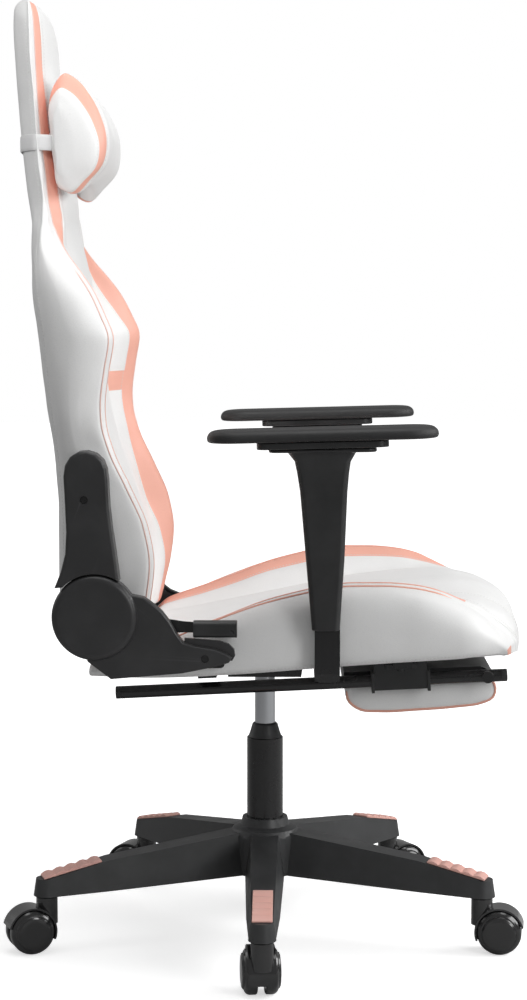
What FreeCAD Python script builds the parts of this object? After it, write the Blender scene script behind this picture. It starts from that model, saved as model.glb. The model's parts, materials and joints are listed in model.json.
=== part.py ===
"""Swivel gaming chair with a reclining back, adjustable armrests and a pull-out footrest.

Frame: millimetres, +Z up, origin on the floor under the gas lift, the front faces -Y.
The sitter's right side is -X. "Forward" below is a distance towards the front, so y = -forward.
"""
import math
import os

import FreeCAD
import Part
import Sketcher
from FreeCAD import Placement, Rotation, Vector

SIDES = {"R": -1, "L": 1}
X_AXIS = Vector(1, 0, 0)
Z_AXIS = Vector(0, 0, 1)

DIMENSIONS = {
    # casters
    "wheel_radius": 30, "wheel_width": 20, "wheel_half_gap": 5.25, "caster_trail": 24,
    "axle_radius": 3, "stem_radius": 5.5, "stem_top": 96, "boss_radius": 14.5, "boss_top": 74,
    "hood_radius": 33.5, "hood_wall": 2.4, "hood_cover": 12.5,
    # five-leg base
    "base_radius": 310, "hub_radius": 49, "leg_tip_bottom": 76, "leg_tip_top": 99.8,
    "leg_tip_radius": 18, "socket_depth": 22,
    # gas lift
    "lift_radius": 25, "lift_wall": 4, "lift_bottom": 62, "lift_top": 276, "rod_radius": 14,
    "rod_bottom": 125, "rod_top": 383, "valve_radius": 4, "run_gap": 0.3,
    # everything bolted under the seat is pitched up towards the front
    "under_pitch": 2.73, "rail_height": 375.5, "bar_low": 25, "bar_high": 42, "bar_width": 24,
    "rear_bar": -70, "front_bar": 81.5, "foot_bar": 180, "plate_thick": 3,
    "tube_radius": 9, "seat_tube_level": 48, "seat_tube_half": 205,
    "seat_tube_rear": -140, "seat_tube_front": 240,
    # recline hinge
    "hinge_forward": -210, "hinge_height": 483, "pin_radius": 8, "steel_thick": 5,
    "upper_plate_in": 262, "lower_plate_in": 268, "dome_radius": 54, "cover_in": 279,
    "boot_out": 296, "cover_out": 300, "dome_out": 303, "seat_sweep": 74,
    "lever_forward": -150, "lever_height": 472, "screw_radius": 2.5,
    # armrests
    "arm_x": 279, "arm_forward": 76, "arm_top": 696, "arm_pitch": 1.5, "bracket_forward": 81.5,
    "bracket_width": 32, "bracket_thick": 6, "post_bottom": 466, "pad_width": 95,
    "pad_thick": 15.3, "tongue_width": 30, "tongue_height": 3,
    # footrest
    "rail_x": 168, "rail_radius": 8.3, "rail_rear": -187, "rail_front": 311,
    "foot_axle_forward": 293, "foot_axle_radius": 5, "tray_half": 150, "foot_pad_half": 149,
    # back frame and pillow
    "back_pitch": 6.9, "back_tube_forward": -219, "back_tube_half": 222, "pillow_half": 134,
    "strap_width": 20, "strap_thick": 1.5,
}


class Dim:
    """A size from the sheet: its value, and the expression that binds a property to it."""

    def __init__(self, value, text):
        self.value = value
        self.text = text

    def joined(self, other, symbol, value):
        other_text = other.text if isinstance(other, Dim) else repr(other)
        return Dim(value, f"({self.text} {symbol} {other_text})")

    def __float__(self):
        return float(self.value)

    def __add__(self, other):
        return self.joined(other, "+", self.value + float(other))

    def __sub__(self, other):
        return self.joined(other, "-", self.value - float(other))

    def __mul__(self, other):
        return self.joined(other, "*", self.value * float(other))

    def __truediv__(self, other):
        return self.joined(other, "/", self.value / float(other))

    def __neg__(self):
        return self * -1

    def __rsub__(self, other):
        return -self + other

    __radd__ = __add__
    __rmul__ = __mul__


class Sheet:
    """The document's spreadsheet, read as sheet.alias."""

    def __init__(self, doc, sizes):
        self.cells = doc.addObject("Spreadsheet::Sheet", "dims")
        self.sizes = sizes
        for row, (alias, value) in enumerate(sizes.items(), start=1):
            self.cells.set(f"A{row}", alias)
            self.cells.set(f"B{row}", str(value))
            self.cells.setAlias(f"B{row}", alias)
        doc.recompute()

    def __getattr__(self, alias):
        return Dim(self.sizes[alias], f"dims.{alias}")


doc = FreeCAD.newDocument("gaming_chair")
D = Sheet(doc, DIMENSIONS)
nodes = {}


# ---------------------------------------------------------------- modelling helpers

def bind(thing, prop, size):
    """Give a property its size, and its expression where the size comes from the sheet."""
    setattr(thing, prop, float(size))
    if isinstance(size, Dim):
        thing.setExpression(prop, size.text)


def new_body(label, placement=None):
    body = doc.addObject("PartDesign::Body", label)
    body.Label = label
    body.AllowCompound = True
    if placement is not None:
        body.Placement = placement
    return body


def keep(label, thing):
    """Register the finished object as the node that its label names."""
    thing.Label = label
    nodes[label] = thing
    return thing


def origin(body, role):
    return next(f for f in body.Origin.OriginFeatures if f.Role == role)


def new_sketch(body, role, offset=0.0):
    sketch = body.newObject("Sketcher::SketchObject", "outline")
    sketch.AttachmentSupport = [(origin(body, role), "")]
    sketch.MapMode = "FlatFace"
    sketch.AttachmentOffset = Placement(Vector(0, 0, float(offset)), Rotation())
    if isinstance(offset, Dim):
        sketch.setExpression("AttachmentOffset.Base.z", offset.text)
    return sketch


def pin_point(sketch, geometry, position, x, y):
    """Fix one point of the sketch at (x, y), each bound to the sheet where it can be."""
    for kind, axis, size in (("DistanceX", -2, x), ("DistanceY", -1, y)):
        value = float(size)
        if abs(value) < 1e-9:
            sketch.addConstraint(Sketcher.Constraint("PointOnObject", geometry, position, axis))
            continue
        index = sketch.addConstraint(
            Sketcher.Constraint(kind, -1, 1, geometry, position, value))
        if isinstance(size, Dim):
            sketch.setExpression(f"Constraints[{index}]", size.text)


def add_polygon(sketch, points):
    corners = [Vector(float(x), float(y), 0) for x, y in points]
    first = sketch.GeometryCount
    for start, end in zip(corners, corners[1:] + corners[:1]):
        sketch.addGeometry(Part.LineSegment(start, end))
    count = len(corners)
    for i in range(count):
        sketch.addConstraint(
            Sketcher.Constraint("Coincident", first + i, 2, first + (i + 1) % count, 1))
    for i, (x, y) in enumerate(points):
        pin_point(sketch, first + i, 1, x, y)


def add_circle(sketch, x, y, radius):
    index = sketch.addGeometry(
        Part.Circle(Vector(float(x), float(y), 0), Z_AXIS, float(radius)))
    pin_point(sketch, index, 3, x, y)
    size = sketch.addConstraint(Sketcher.Constraint("Radius", index, float(radius)))
    if isinstance(radius, Dim):
        sketch.setExpression(f"Constraints[{size}]", radius.text)


def polygon(body, role, points, offset=0.0):
    sketch = new_sketch(body, role, offset)
    add_polygon(sketch, points)
    return sketch


def circles(body, role, places, radius, offset=0.0):
    sketch = new_sketch(body, role, offset)
    for x, y in places:
        add_circle(sketch, x, y, radius)
    return sketch


def pad(body, sketch, length, centred=False):
    feature = body.newObject("PartDesign::Pad", "pad")
    feature.Profile = sketch
    bind(feature, "Length", length)
    feature.Midplane = centred
    body.Tip = feature
    return feature


def pocket(body, sketch, length, upward=False, centred=False):
    """Cut along the sketch's normal when upward is set, and against it when it is not."""
    doc.recompute()
    before = body.Shape.Volume
    feature = body.newObject("PartDesign::Pocket", "pocket")
    feature.Profile = sketch
    bind(feature, "Length", length)
    feature.Reversed = upward
    feature.Midplane = centred
    body.Tip = feature
    doc.recompute()
    if body.Shape.Volume > before - 1e-3:
        raise RuntimeError(f"{body.Label}: a pocket cuts nothing")
    return feature


def revolve(body, sketch, axis_role):
    feature = body.newObject("PartDesign::Revolution", "turned")
    feature.Profile = sketch
    feature.ReferenceAxis = (origin(body, axis_role), [""])
    feature.Angle = 360
    body.Tip = feature
    return feature


def loft(body, sketches, ruled=False):
    feature = body.newObject("PartDesign::AdditiveLoft", "loft")
    feature.Profile = sketches[0]
    feature.Sections = sketches[1:]
    feature.Ruled = ruled
    body.Tip = feature
    return feature


def five_around(body, features):
    pattern = body.newObject("PartDesign::PolarPattern", "five")
    pattern.Originals = features
    pattern.Axis = (origin(body, "Z_Axis"), [""])
    pattern.Occurrences = 5
    pattern.Angle = 360
    body.Tip = pattern
    return pattern


def mirrored(body, features, role):
    feature = body.newObject("PartDesign::Mirrored", "mirror")
    feature.Originals = features
    feature.MirrorPlane = (origin(body, role), [""])
    body.Tip = feature
    return feature


def fillet(body, radius, chosen):
    """Round the body's edges that the test picks."""
    doc.recompute()
    tip = body.Tip
    names = [f"Edge{i}" for i, edge in enumerate(tip.Shape.Edges, start=1) if chosen(edge)]
    if not names:
        raise RuntimeError(f"{body.Label}: no edge to round")
    feature = body.newObject("PartDesign::Fillet", "rounding")
    feature.Base = (tip, names)
    bind(feature, "Radius", radius)
    body.Tip = feature
    doc.recompute()
    return feature


def along(edge, axis):
    """True for a straight edge that runs along the axis."""
    if not isinstance(edge.Curve, Part.Line):
        return False
    return abs(edge.Curve.Direction.dot(axis)) > 0.999


def at_level(edge, index, level):
    """True for an edge that lies in the plane where coordinate index equals level."""
    box = edge.BoundBox
    low = (box.XMin, box.YMin, box.ZMin)[index]
    high = (box.XMax, box.YMax, box.ZMax)[index]
    return abs(low - level) < 1e-4 and abs(high - level) < 1e-4


def span(side, inner, outer):
    """The two X levels of a part between inner and outer, lowest first, on the given side."""
    return (inner, outer) if side > 0 else (-outer, -inner)


def facing(points):
    """(forward, up) points as a sketch on the YZ plane wants them."""
    return [(-forward, up) for forward, up in points]


def slab(body, points, low, high):
    """A plate whose outline lies in the YZ plane, between two X levels."""
    return pad(body, polygon(body, "YZ_Plane", facing(points), low), high - low)


def disc(body, forward, up, radius, low, high):
    return pad(body, circles(body, "YZ_Plane", [(-forward, up)], radius, low), high - low)


def cross_hole(body, forward, up, radius, low, high):
    sketch = circles(body, "YZ_Plane", [(-forward, up)], radius, low)
    return pocket(body, sketch, high - low, upward=True)


def pipe(body, role, points, bend, radius, start_role, start_offset, start_at):
    """A round bar along straight runs that bends join, all in one origin plane."""
    path = new_sketch(body, role)
    edges = bent_path([Vector(float(x), float(y), 0) for x, y in points], bend)
    for edge in edges:
        path.addGeometry(edge)
    section = circles(body, start_role, [start_at], radius, start_offset)
    feature = body.newObject("PartDesign::AdditivePipe", "pipe")
    feature.Profile = section
    feature.Spine = path
    body.Tip = feature
    return feature


def bent_path(points, bend):
    """Lines between the points, with a tangent arc of the bend radius at each inner one."""
    edges = []
    start = points[0]
    for before, corner, after in zip(points, points[1:], points[2:]):
        incoming = (before - corner).normalize()
        outgoing = (after - corner).normalize()
        half = incoming.getAngle(outgoing) / 2
        reach = bend / math.tan(half)
        enter = corner + incoming * reach
        leave = corner + outgoing * reach
        middle = (incoming + outgoing).normalize()
        crown = corner + middle * (bend / math.sin(half) - bend)
        edges.append(Part.LineSegment(start, enter))
        edges.append(Part.Arc(enter, crown, leave))
        start = leave
    edges.append(Part.LineSegment(start, points[-1]))
    return edges


def under_seat():
    """Frame of everything under the seat: pitched about the rails' height over the origin."""
    return Placement(Vector(0, 0, float(D.rail_height)),
                     Rotation(X_AXIS, -float(D.under_pitch)))


def arm_head(side):
    """Frame of an armrest's top: its post's centre at plate height, pitched up in front."""
    return Placement(Vector(side * float(D.arm_x), -float(D.arm_forward), float(D.arm_top)),
                     Rotation(X_AXIS, -float(D.arm_pitch)))


# ---------------------------------------------------------------- base and gas lift

def star_base():
    body = new_body("star_base")
    hub = polygon(body, "XZ_Plane", [
        (D.lift_radius + 0.1, 87), (D.hub_radius - 3, 87), (D.hub_radius, 92),
        (D.hub_radius, 141), (D.hub_radius - 5, 149), (34, 153), (31, 164),
        (D.lift_radius + 0.1, 164)])
    revolve(body, hub, "Z_Axis")

    def section(radius, low, high, low_half, high_half):
        return polygon(body, "YZ_Plane", [
            (-low_half, low), (low_half, low), (high_half, high), (-high_half, high)], -radius)

    leg = loft(body, [
        section(D.hub_radius - 8, 88, 146, 27, 19),
        section(D.base_radius - 85, 79.5, 121, 22, 16),
        section(D.base_radius, D.leg_tip_bottom, D.leg_tip_top + 1, 17.4, 14)], ruled=True)
    tip = loft(body, [
        circles(body, "XY_Plane", [(-D.base_radius, 0)], D.leg_tip_radius, D.leg_tip_bottom),
        circles(body, "XY_Plane", [(-D.base_radius, 0)], D.leg_tip_radius - 3.5,
                D.leg_tip_top)], ruled=True)
    five_around(body, [leg, tip])
    sockets = [(D.base_radius * round(math.cos(math.radians(a)), 9),
                D.base_radius * round(math.sin(math.radians(a)), 9))
               for a in (180, 108, 36, -36, -108)]
    pocket(body, circles(body, "XY_Plane", sockets, D.stem_radius + D.run_gap,
                         D.leg_tip_bottom), D.socket_depth, upward=True)
    return keep("star_base", body)


def foot_grips():
    """Ribbed inlays on top of the legs, near their tips."""
    body = new_body("foot_grips")
    inner, outer, ribs = 236.0, 316.0, 5
    slope = (101.5 - 121) / 85

    def top(radius):
        return 121 + slope * (radius - 225)

    pitch = (outer - inner) / ribs
    points = [(-inner, top(inner)), (-inner, top(inner) + 2.2)]
    for rib in range(ribs):
        start = inner + rib * pitch
        points.append((-(start + 0.35 * pitch), top(start + 0.35 * pitch) + 4.6))
        points.append((-(start + 0.65 * pitch), top(start + 0.65 * pitch) + 4.6))
        points.append((-(start + pitch), top(start + pitch) + 2.2))
    points.append((-outer, top(outer)))
    grip = pad(body, polygon(body, "XZ_Plane", points), 26, centred=True)
    five_around(body, [grip])
    return keep("foot_grips", body)


def gas_lift():
    tube = new_body("gas_lift_tube")
    bore = D.lift_radius - D.lift_wall
    revolve(tube, polygon(tube, "XZ_Plane", [
        (0, D.lift_bottom), (D.lift_radius, D.lift_bottom), (D.lift_radius, D.lift_top),
        (bore, D.lift_top), (bore, D.lift_bottom + D.lift_wall),
        (0, D.lift_bottom + D.lift_wall)]), "Z_Axis")
    keep("gas_lift_tube", tube)

    collar = new_body("gas_lift_collar")
    inside = D.rod_radius + D.run_gap
    revolve(collar, polygon(collar, "XZ_Plane", [
        (inside, D.lift_top - 16), (bore - 0.1, D.lift_top - 16), (bore - 0.1, D.lift_top),
        (D.lift_radius - 1.5, D.lift_top), (D.lift_radius - 4, D.lift_top + 6),
        (D.rod_radius + 3.5, D.lift_top + 18), (D.rod_radius + 1.5, D.lift_top + 20),
        (inside, D.lift_top + 20)]), "Z_Axis")
    keep("gas_lift_collar", collar)

    rod = new_body("gas_lift_rod")
    piston = bore - D.run_gap
    revolve(rod, polygon(rod, "XZ_Plane", [
        (0, D.rod_bottom), (piston, D.rod_bottom), (piston, D.rod_bottom + 12),
        (D.rod_radius, D.rod_bottom + 14), (D.rod_radius, D.rod_top - 31),
        (D.rod_radius - 1, D.rod_top), (D.valve_radius + 0.1, D.rod_top),
        (D.valve_radius + 0.1, D.rod_top - 36), (0, D.rod_top - 36)]), "Z_Axis")
    keep("gas_lift_rod", rod)

    valve = doc.addObject("Part::Cylinder", "gas_lift_valve")
    bind(valve, "Radius", D.valve_radius)
    bind(valve, "Height", Dim(26.5, "26.5"))
    valve.Placement = Placement(Vector(0, 0, float(D.rod_top) - 21), Rotation())
    valve.setExpression("Placement.Base.z", (D.rod_top - 21).text)
    keep("gas_lift_valve", valve)


# ---------------------------------------------------------------- casters

CASTERS = [  # leg direction and trail direction, in degrees from +X
    (180, 6), (108, 112), (36, 70), (-36, -62), (-108, -97)]


def caster_place(number):
    leg, trail = CASTERS[number - 1]
    reach = float(D.base_radius)
    return Placement(Vector(reach * math.cos(math.radians(leg)),
                            reach * math.sin(math.radians(leg)), 0),
                     Rotation(Z_AXIS, trail))


def caster(number):
    """One twin-wheel caster: the moulded frame with its stem and axle, and its wheels."""
    web_half = D.wheel_half_gap - 0.75
    hood_half = D.wheel_half_gap + D.hood_cover
    wheel_x, wheel_z = D.caster_trail, D.wheel_radius
    frame = new_body(f"caster_shell_{number}")
    pad(frame, circles(frame, "XZ_Plane", [(wheel_x, wheel_z)], D.hood_radius),
        hood_half * 2, centred=True)
    pocket(frame, polygon(frame, "XZ_Plane", [
        (wheel_x - 33, 18), (wheel_x - 6, wheel_z - 8), (wheel_x + 6, wheel_z - 8),
        (wheel_x + 45, wheel_z + 16), (wheel_x + 45, -10), (wheel_x - 45, -10),
        (wheel_x - 45, 18)]), hood_half * 2 + 2, centred=True)
    pad(frame, circles(frame, "XY_Plane", [(0, 0)], D.boss_radius, 38), D.boss_top - 38)
    clearance = D.hood_radius - D.hood_wall
    for sign in (-1, 1):
        start = web_half if sign > 0 else -(web_half + 40)
        pocket(frame, circles(frame, "XZ_Plane", [(wheel_x, wheel_z)], clearance, start),
               40, upward=True)
    pad(frame, circles(frame, "XY_Plane", [(0, 0)], D.stem_radius, 60), D.stem_top - 60)
    pocket(frame, circles(frame, "XZ_Plane", [(wheel_x, wheel_z)], D.axle_radius), 40,
           centred=True)

    axle = doc.addObject("Part::Cylinder", f"caster_axle_{number}")
    bind(axle, "Radius", D.axle_radius)
    bind(axle, "Height", D.wheel_half_gap * 2 + D.wheel_width * 2 - 6)
    axle.Placement = Placement(
        Vector(float(wheel_x), float(axle.Height) / 2, float(wheel_z)), Rotation(X_AXIS, 90))
    whole = doc.addObject("Part::Compound", f"caster_frame_{number}")
    whole.Links = [frame, axle]
    whole.Placement = caster_place(number)
    keep(f"caster_frame_{number}", whole)

    wheels = new_body(f"caster_wheels_{number}")
    inner = D.wheel_half_gap
    outer = D.wheel_half_gap + D.wheel_width
    wheel = revolve(wheels, polygon(wheels, "XY_Plane", [
        (D.axle_radius + 0.08, inner), (D.wheel_radius - 1.5, inner),
        (D.wheel_radius, inner + 1.5), (D.wheel_radius, outer - 10),
        (D.wheel_radius - 0.7, outer - 7.4), (D.wheel_radius - 2.4, outer - 5.2),
        (D.wheel_radius - 4.8, outer - 3.6), (D.wheel_radius - 6.6, outer - 3.2),
        (D.wheel_radius - 7.4, outer - 1.5), (D.wheel_radius - 9.4, outer - 0.5),
        (D.wheel_radius - 13, outer), (0, outer), (0, outer - 2.9),
        (D.axle_radius + 0.08, outer - 2.9)]), "Y_Axis")
    mirrored(wheels, [wheel], "XZ_Plane")
    wheels.Placement = caster_place(number) * Placement(
        Vector(float(wheel_x), 0, float(wheel_z)), Rotation())
    keep(f"caster_wheels_{number}", wheels)


# ---------------------------------------------------------------- under the seat

LEVER_PIVOT_X = 50
LUG_IN, LUG_OUT = 6.5, 9.5


def seat_plate():
    """Pressed plate that takes the gas lift's taper in a boxed socket."""
    body = new_body("seat_plate")
    pitch = math.tan(math.radians(float(D.under_pitch)))

    def level(forward, up):
        return float(D.rail_height) + forward * pitch + up / math.cos(math.atan(pitch))

    top = float(D.bar_low)
    bottom = top - float(D.plate_thick)
    slab(body, [(-95, level(-95, bottom)), (100, level(100, bottom)), (100, level(100, top)),
                (-95, level(-95, top))], -80, 80)
    box_low = 366.0
    slab(body, [(-50, box_low), (50, box_low), (56, level(56, bottom)),
                (-56, level(-56, bottom))], -42, 42)
    pocket(body, polygon(body, "YZ_Plane", facing([
        (-46, box_low + 3), (46, box_low + 3), (50, level(50, bottom)),
        (-50, level(-50, bottom))]), -39), 78, upward=True)
    socket = circles(body, "XY_Plane", [(0, 0)], D.rod_radius + 5, box_low)
    pad(body, socket, 16)
    pocket(body, circles(body, "XY_Plane", [(0, 0)], D.rod_radius + D.run_gap, box_low - 1),
           18, upward=True)
    pocket(body, polygon(body, "YZ_Plane", [(-7, 384.5), (7, 384.5), (7, 396), (-7, 396)], 30),
           20, upward=True)
    for low, high in ((-LUG_OUT, -LUG_IN), (LUG_IN, LUG_OUT)):
        lug = polygon(body, "XZ_Plane", [(LEVER_PIVOT_X - 5, 385), (LEVER_PIVOT_X + 5, 385),
                                         (LEVER_PIVOT_X + 7, 398.5),
                                         (LEVER_PIVOT_X - 7, 398.5)], low)
        pad(body, lug, high - low)
    pocket(body, circles(body, "XZ_Plane", [(LEVER_PIVOT_X, 390)], 2.6), 2 * LUG_OUT + 2,
           centred=True)
    holes = [(x, pitched_y(forward, bottom)) for x, forward in PLATE_BOLTS]
    pocket(body, circles(body, "XY_Plane", holes, 3.4, 380), 40, upward=True)
    return keep("seat_plate", body)


def pitched_y(forward, up):
    """Y in the chair's frame of a point given in the pitched frame under the seat."""
    pitch = math.radians(float(D.under_pitch))
    return -forward * math.cos(pitch) + up * math.sin(pitch)


def bolt_group(label, places, head_low, head_radius, head_high, shank_radius, shank_high):
    """Vertical bolts under the seat: heads below, shanks up into the bars."""
    body = new_body(label, under_seat())
    spots = [(x, -forward) for x, forward in places]
    pad(body, circles(body, "XY_Plane", spots, head_radius, head_low), head_high - head_low)
    pad(body, circles(body, "XY_Plane", spots, shank_radius, head_high - 0.5),
        shank_high - head_high + 0.5)
    return keep(label, body)


PLATE_BOLTS = [(x, f) for x in (-62, 62) for f in (DIMENSIONS["rear_bar"],
                                                   DIMENSIONS["front_bar"])]
ARM_BOLTS = [(x, DIMENSIONS["front_bar"]) for x in (-228, -206, 206, 228)]
FOOT_BOLTS = [(x, DIMENSIONS["foot_bar"]) for x in (-189, 189)]


def seat_frame():
    """Tube loop in the seat's foam, with three cross bars and four side lugs."""
    body = new_body("seat_frame", under_seat())
    half, rear, front = D.seat_tube_half, D.seat_tube_rear, D.seat_tube_front
    path = new_sketch(body, "XY_Plane", D.seat_tube_level)
    loop = [(0, -rear), (half, -rear), (half, -front), (-half, -front), (-half, -rear),
            (0, -rear)]
    for edge in bent_path([Vector(float(x), float(y), 0) for x, y in loop], 45):
        path.addGeometry(edge)
    section = circles(body, "YZ_Plane", [(-rear, D.seat_tube_level)], D.tube_radius)
    tube = body.newObject("PartDesign::AdditivePipe", "loop")
    tube.Profile = section
    tube.Spine = path
    body.Tip = tube
    for bar in (D.rear_bar, D.front_bar, D.foot_bar):
        edge = D.bar_width / 2
        slab(body, [(bar - edge, D.bar_low), (bar + edge, D.bar_low),
                    (bar + edge, D.bar_high), (bar - edge, D.bar_high)], -238, 238)
    for side in SIDES.values():
        low, high = span(side, half, D.lower_plate_in)
        for forward in (-65, -122):
            disc(body, forward, 52, 6, low, high)
    bolts = [(x, -f) for x, f in PLATE_BOLTS + ARM_BOLTS]
    pocket(body, circles(body, "XY_Plane", bolts, 3.05, D.bar_low - 1), 15.5, upward=True)
    small = [(x, -f) for x, f in FOOT_BOLTS]
    pocket(body, circles(body, "XY_Plane", small, 2.55, D.bar_low - 1), 13.5, upward=True)
    return keep("seat_frame", body)


def lift_lever():
    """Lever over the valve, hinged at the socket's left wall, with a paddle outside."""
    body = new_body("lift_lever")
    pipe(body, "XZ_Plane", [(12, 390), (181, 390), (205, 381), (212, 381)], 14, 3.5,
         "YZ_Plane", 12, (0, 390))
    slab(body, [(-5, 388.9), (5, 388.9), (5, 391.5), (-5, 391.5)], -5, 20)
    slab(body, [(-5, 387), (5, 387), (5, 393.2), (-5, 393.2)], 44, 56)
    pivot = circles(body, "XZ_Plane", [(LEVER_PIVOT_X, 390)], 2.5)
    pad(body, pivot, 2 * LUG_OUT - 0.6, centred=True)
    keep("lift_lever", body)

    grip = new_body("lift_lever_grip")
    slab(grip, [(-13, 377), (13, 377), (13, 385), (-13, 385)], 206, 252)
    fillet(grip, 3, lambda edge: along(edge, X_AXIS))
    cross_hole(grip, 0, 381, 3.5, 205, 212)
    return keep("lift_lever_grip", grip)


# ---------------------------------------------------------------- recline hinge

def lower_plate(name, side):
    label = f"recline_plate_lower_{name}"
    body = new_body(label)
    low, high = span(side, D.lower_plate_in, D.lower_plate_in + D.steel_thick)
    shoulder = LOWER_PLATE_SHOULDERS[name]
    slab(body, [(-48, 416), (-48, 431)] + shoulder + [
        (-190, 518), (-226, 517), (-245, 497), (-247, 468), (-228, 443), (-195, 418),
        (-140, 414)], low, high)
    fillet(body, 5, lambda edge: along(edge, X_AXIS))
    if side == SIDES["R"]:
        inner, outer = span(side, D.lower_plate_in + D.steel_thick, D.cover_in - 0.6)
        disc(body, D.lever_forward, D.lever_height, 4, inner, outer)
    cross_hole(body, D.hinge_forward, D.hinge_height, D.pin_radius + 0.05, low - 1, high + 1)
    for forward, height in LOWER_SCREWS:
        cross_hole(body, forward, height, D.screw_radius + 0.05, low - 1, high + 1)
    return keep(label, body)


LOWER_SCREWS = [(-72, 431)]
UPPER_SCREW = (-222, 631)
LOWER_PLATE_SHOULDERS = {
    "R": [(-97, 445), (-111, 465), (-127, 486), (-150, 502)],
    "L": [(-98, 433), (-129, 433), (-152, 444), (-164, 468)]}
BOOT_SHOULDERS = {  # the right side's is high because it houses the lever's pivot
    "R": [(-59, 442.7), (-86, 447.2), (-99.2, 451.7), (-108, 463.5), (-115.4, 477),
          (-125.6, 490.3), (-136, 499.3), (-148, 508.2), (-166, 512)],
    "L": [(-59, 438), (-99, 438), (-129, 438), (-146, 445), (-154, 451), (-162, 464)]}
BOOT_HOLLOWS = {
    "R": [(-96, 443), (-118, 471), (-128, 483), (-146, 499), (-170, 500)],
    "L": [(-96, 433), (-128, 433), (-148, 444), (-160, 452), (-172, 474)]}


def upper_plate(name, side):
    label = f"recline_plate_upper_{name}"
    body = new_body(label)
    low, high = span(side, D.upper_plate_in, D.upper_plate_in + D.steel_thick)
    slab(body, [(-174, 470), (-176, 502), (-192, 540), (-203, 590), (-206, 664), (-236, 668),
                (-238, 590), (-240, 540), (-244, 500), (-244, 468), (-226, 448),
                (-192, 448)], low, high)
    fillet(body, 6, lambda edge: along(edge, X_AXIS))
    cross_hole(body, D.hinge_forward, D.hinge_height, D.pin_radius + 0.05, low - 1, high + 1)
    forward, height = UPPER_SCREW
    cross_hole(body, forward, height, D.screw_radius + 0.05, low - 1, high + 1)
    return keep(label, body)


def recline_pins():
    body = new_body("recline_pins")
    for side in SIDES.values():
        low, high = span(side, D.upper_plate_in, D.lower_plate_in + D.steel_thick)
        disc(body, D.hinge_forward, D.hinge_height, D.pin_radius, low, high)
        low, high = span(side, D.lower_plate_in + D.steel_thick, D.cover_in - 0.6)
        disc(body, D.hinge_forward, D.hinge_height, D.pin_radius + 3, low, high)
    return keep("recline_pins", body)


def recline_springs():
    """Flat spiral springs that push the back up, one on each hinge pin's head."""
    coils, inner, outer, wide, thick = 4, 11.5, 30.0, 3.6, 1.5
    steps = 24 * coils
    spirals = []
    for side in SIDES.values():
        low, high = span(side, float(D.lower_plate_in + D.steel_thick) + 0.8,
                         float(D.lower_plate_in + D.steel_thick) + 0.8 + wide)
        rims = []
        for extra in (0.0, thick):
            rims.append([Vector(
                low,
                -float(D.hinge_forward) + radius * math.cos(angle),
                float(D.hinge_height) + radius * math.sin(angle))
                for step in range(steps + 1)
                for angle in [2 * math.pi * coils * step / steps]
                for radius in [inner + (outer - inner) * step / steps + extra]])
        curves = [Part.BSplineCurve() for _ in rims]
        for curve, rim in zip(curves, rims):
            curve.interpolate(rim)
        edges = [curves[0].toShape(), Part.makeLine(rims[0][-1], rims[1][-1]),
                 curves[1].toShape(), Part.makeLine(rims[1][0], rims[0][0])]
        face = Part.Face(Part.Wire(Part.__sortEdges__(edges)))
        spirals.append(face.extrude(Vector(high - low, 0, 0)))
    feature = doc.addObject("Part::Feature", "recline_springs")
    feature.Shape = Part.makeCompound(spirals)
    return keep("recline_springs", feature)


def lower_cover(name, side):
    """Boot-shaped cover of the fixed hinge plate, with the round dome over the pin."""
    label = f"hinge_cover_lower_{name}"
    body = new_body(label)
    low, high = span(side, D.cover_in, D.boot_out)
    slab(body, [(-42, 426), (-38, 432.3), (-44.5, 437)] + BOOT_SHOULDERS[name] + [
        (-200, 500), (-235, 470), (-219, 427), (-190, 405), (-101, 412.5),
        (-59, 420.9)], low, high)
    outer_level = side * float(D.boot_out)
    fillet(body, 2.5, lambda edge: at_level(edge, 0, outer_level))
    low, high = span(side, D.cover_in, D.cover_in + 8)
    rim = [(-38, 427.5), (-34.3, 434), (-35.5, 442), (-42, 448.5), (-54, 452.5), (-72, 454),
           (-98, 456), (-98, 430)] if side == SIDES["R"] else [
               (-38, 427.5), (-34.3, 433), (-36, 438), (-44, 441), (-100, 441), (-98, 430)]
    slab(body, rim, low, high)
    low, high = span(side, D.cover_in, D.dome_out)
    disc(body, D.hinge_forward, D.hinge_height, D.dome_radius, low, high)
    dome_level = side * float(D.dome_out)
    fillet(body, 9, lambda edge: at_level(edge, 0, dome_level))
    low, high = span(side, D.cover_in - 1, D.boot_out - 3)
    inner = polygon(body, "YZ_Plane", facing([(-92, 423)] + BOOT_HOLLOWS[name] + [
        (-196, 470), (-190, 440), (-175, 416)]), low)
    pocket(body, inner, high - low, upward=True)
    low, high = span(side, D.cover_in - 1, D.boot_out + 1)
    cross_hole(body, D.hinge_forward, D.hinge_height, D.dome_radius - 13, low, high)
    low, high = span(side, D.lower_plate_in + D.steel_thick, D.cover_in)
    for forward, height in LOWER_SCREWS:
        disc(body, forward, height, 5, low, high)
    low, high = span(side, D.lower_plate_in, D.dome_out + 1)
    for forward, height in LOWER_SCREWS:
        cross_hole(body, forward, height, D.screw_radius + 0.05, low, high)
    recess_in, recess_out = span(side, D.boot_out - 3, D.dome_out + 1)
    for forward, height in LOWER_SCREWS:
        cross_hole(body, forward, height, 5, recess_in, recess_out)
    return keep(label, body)


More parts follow.
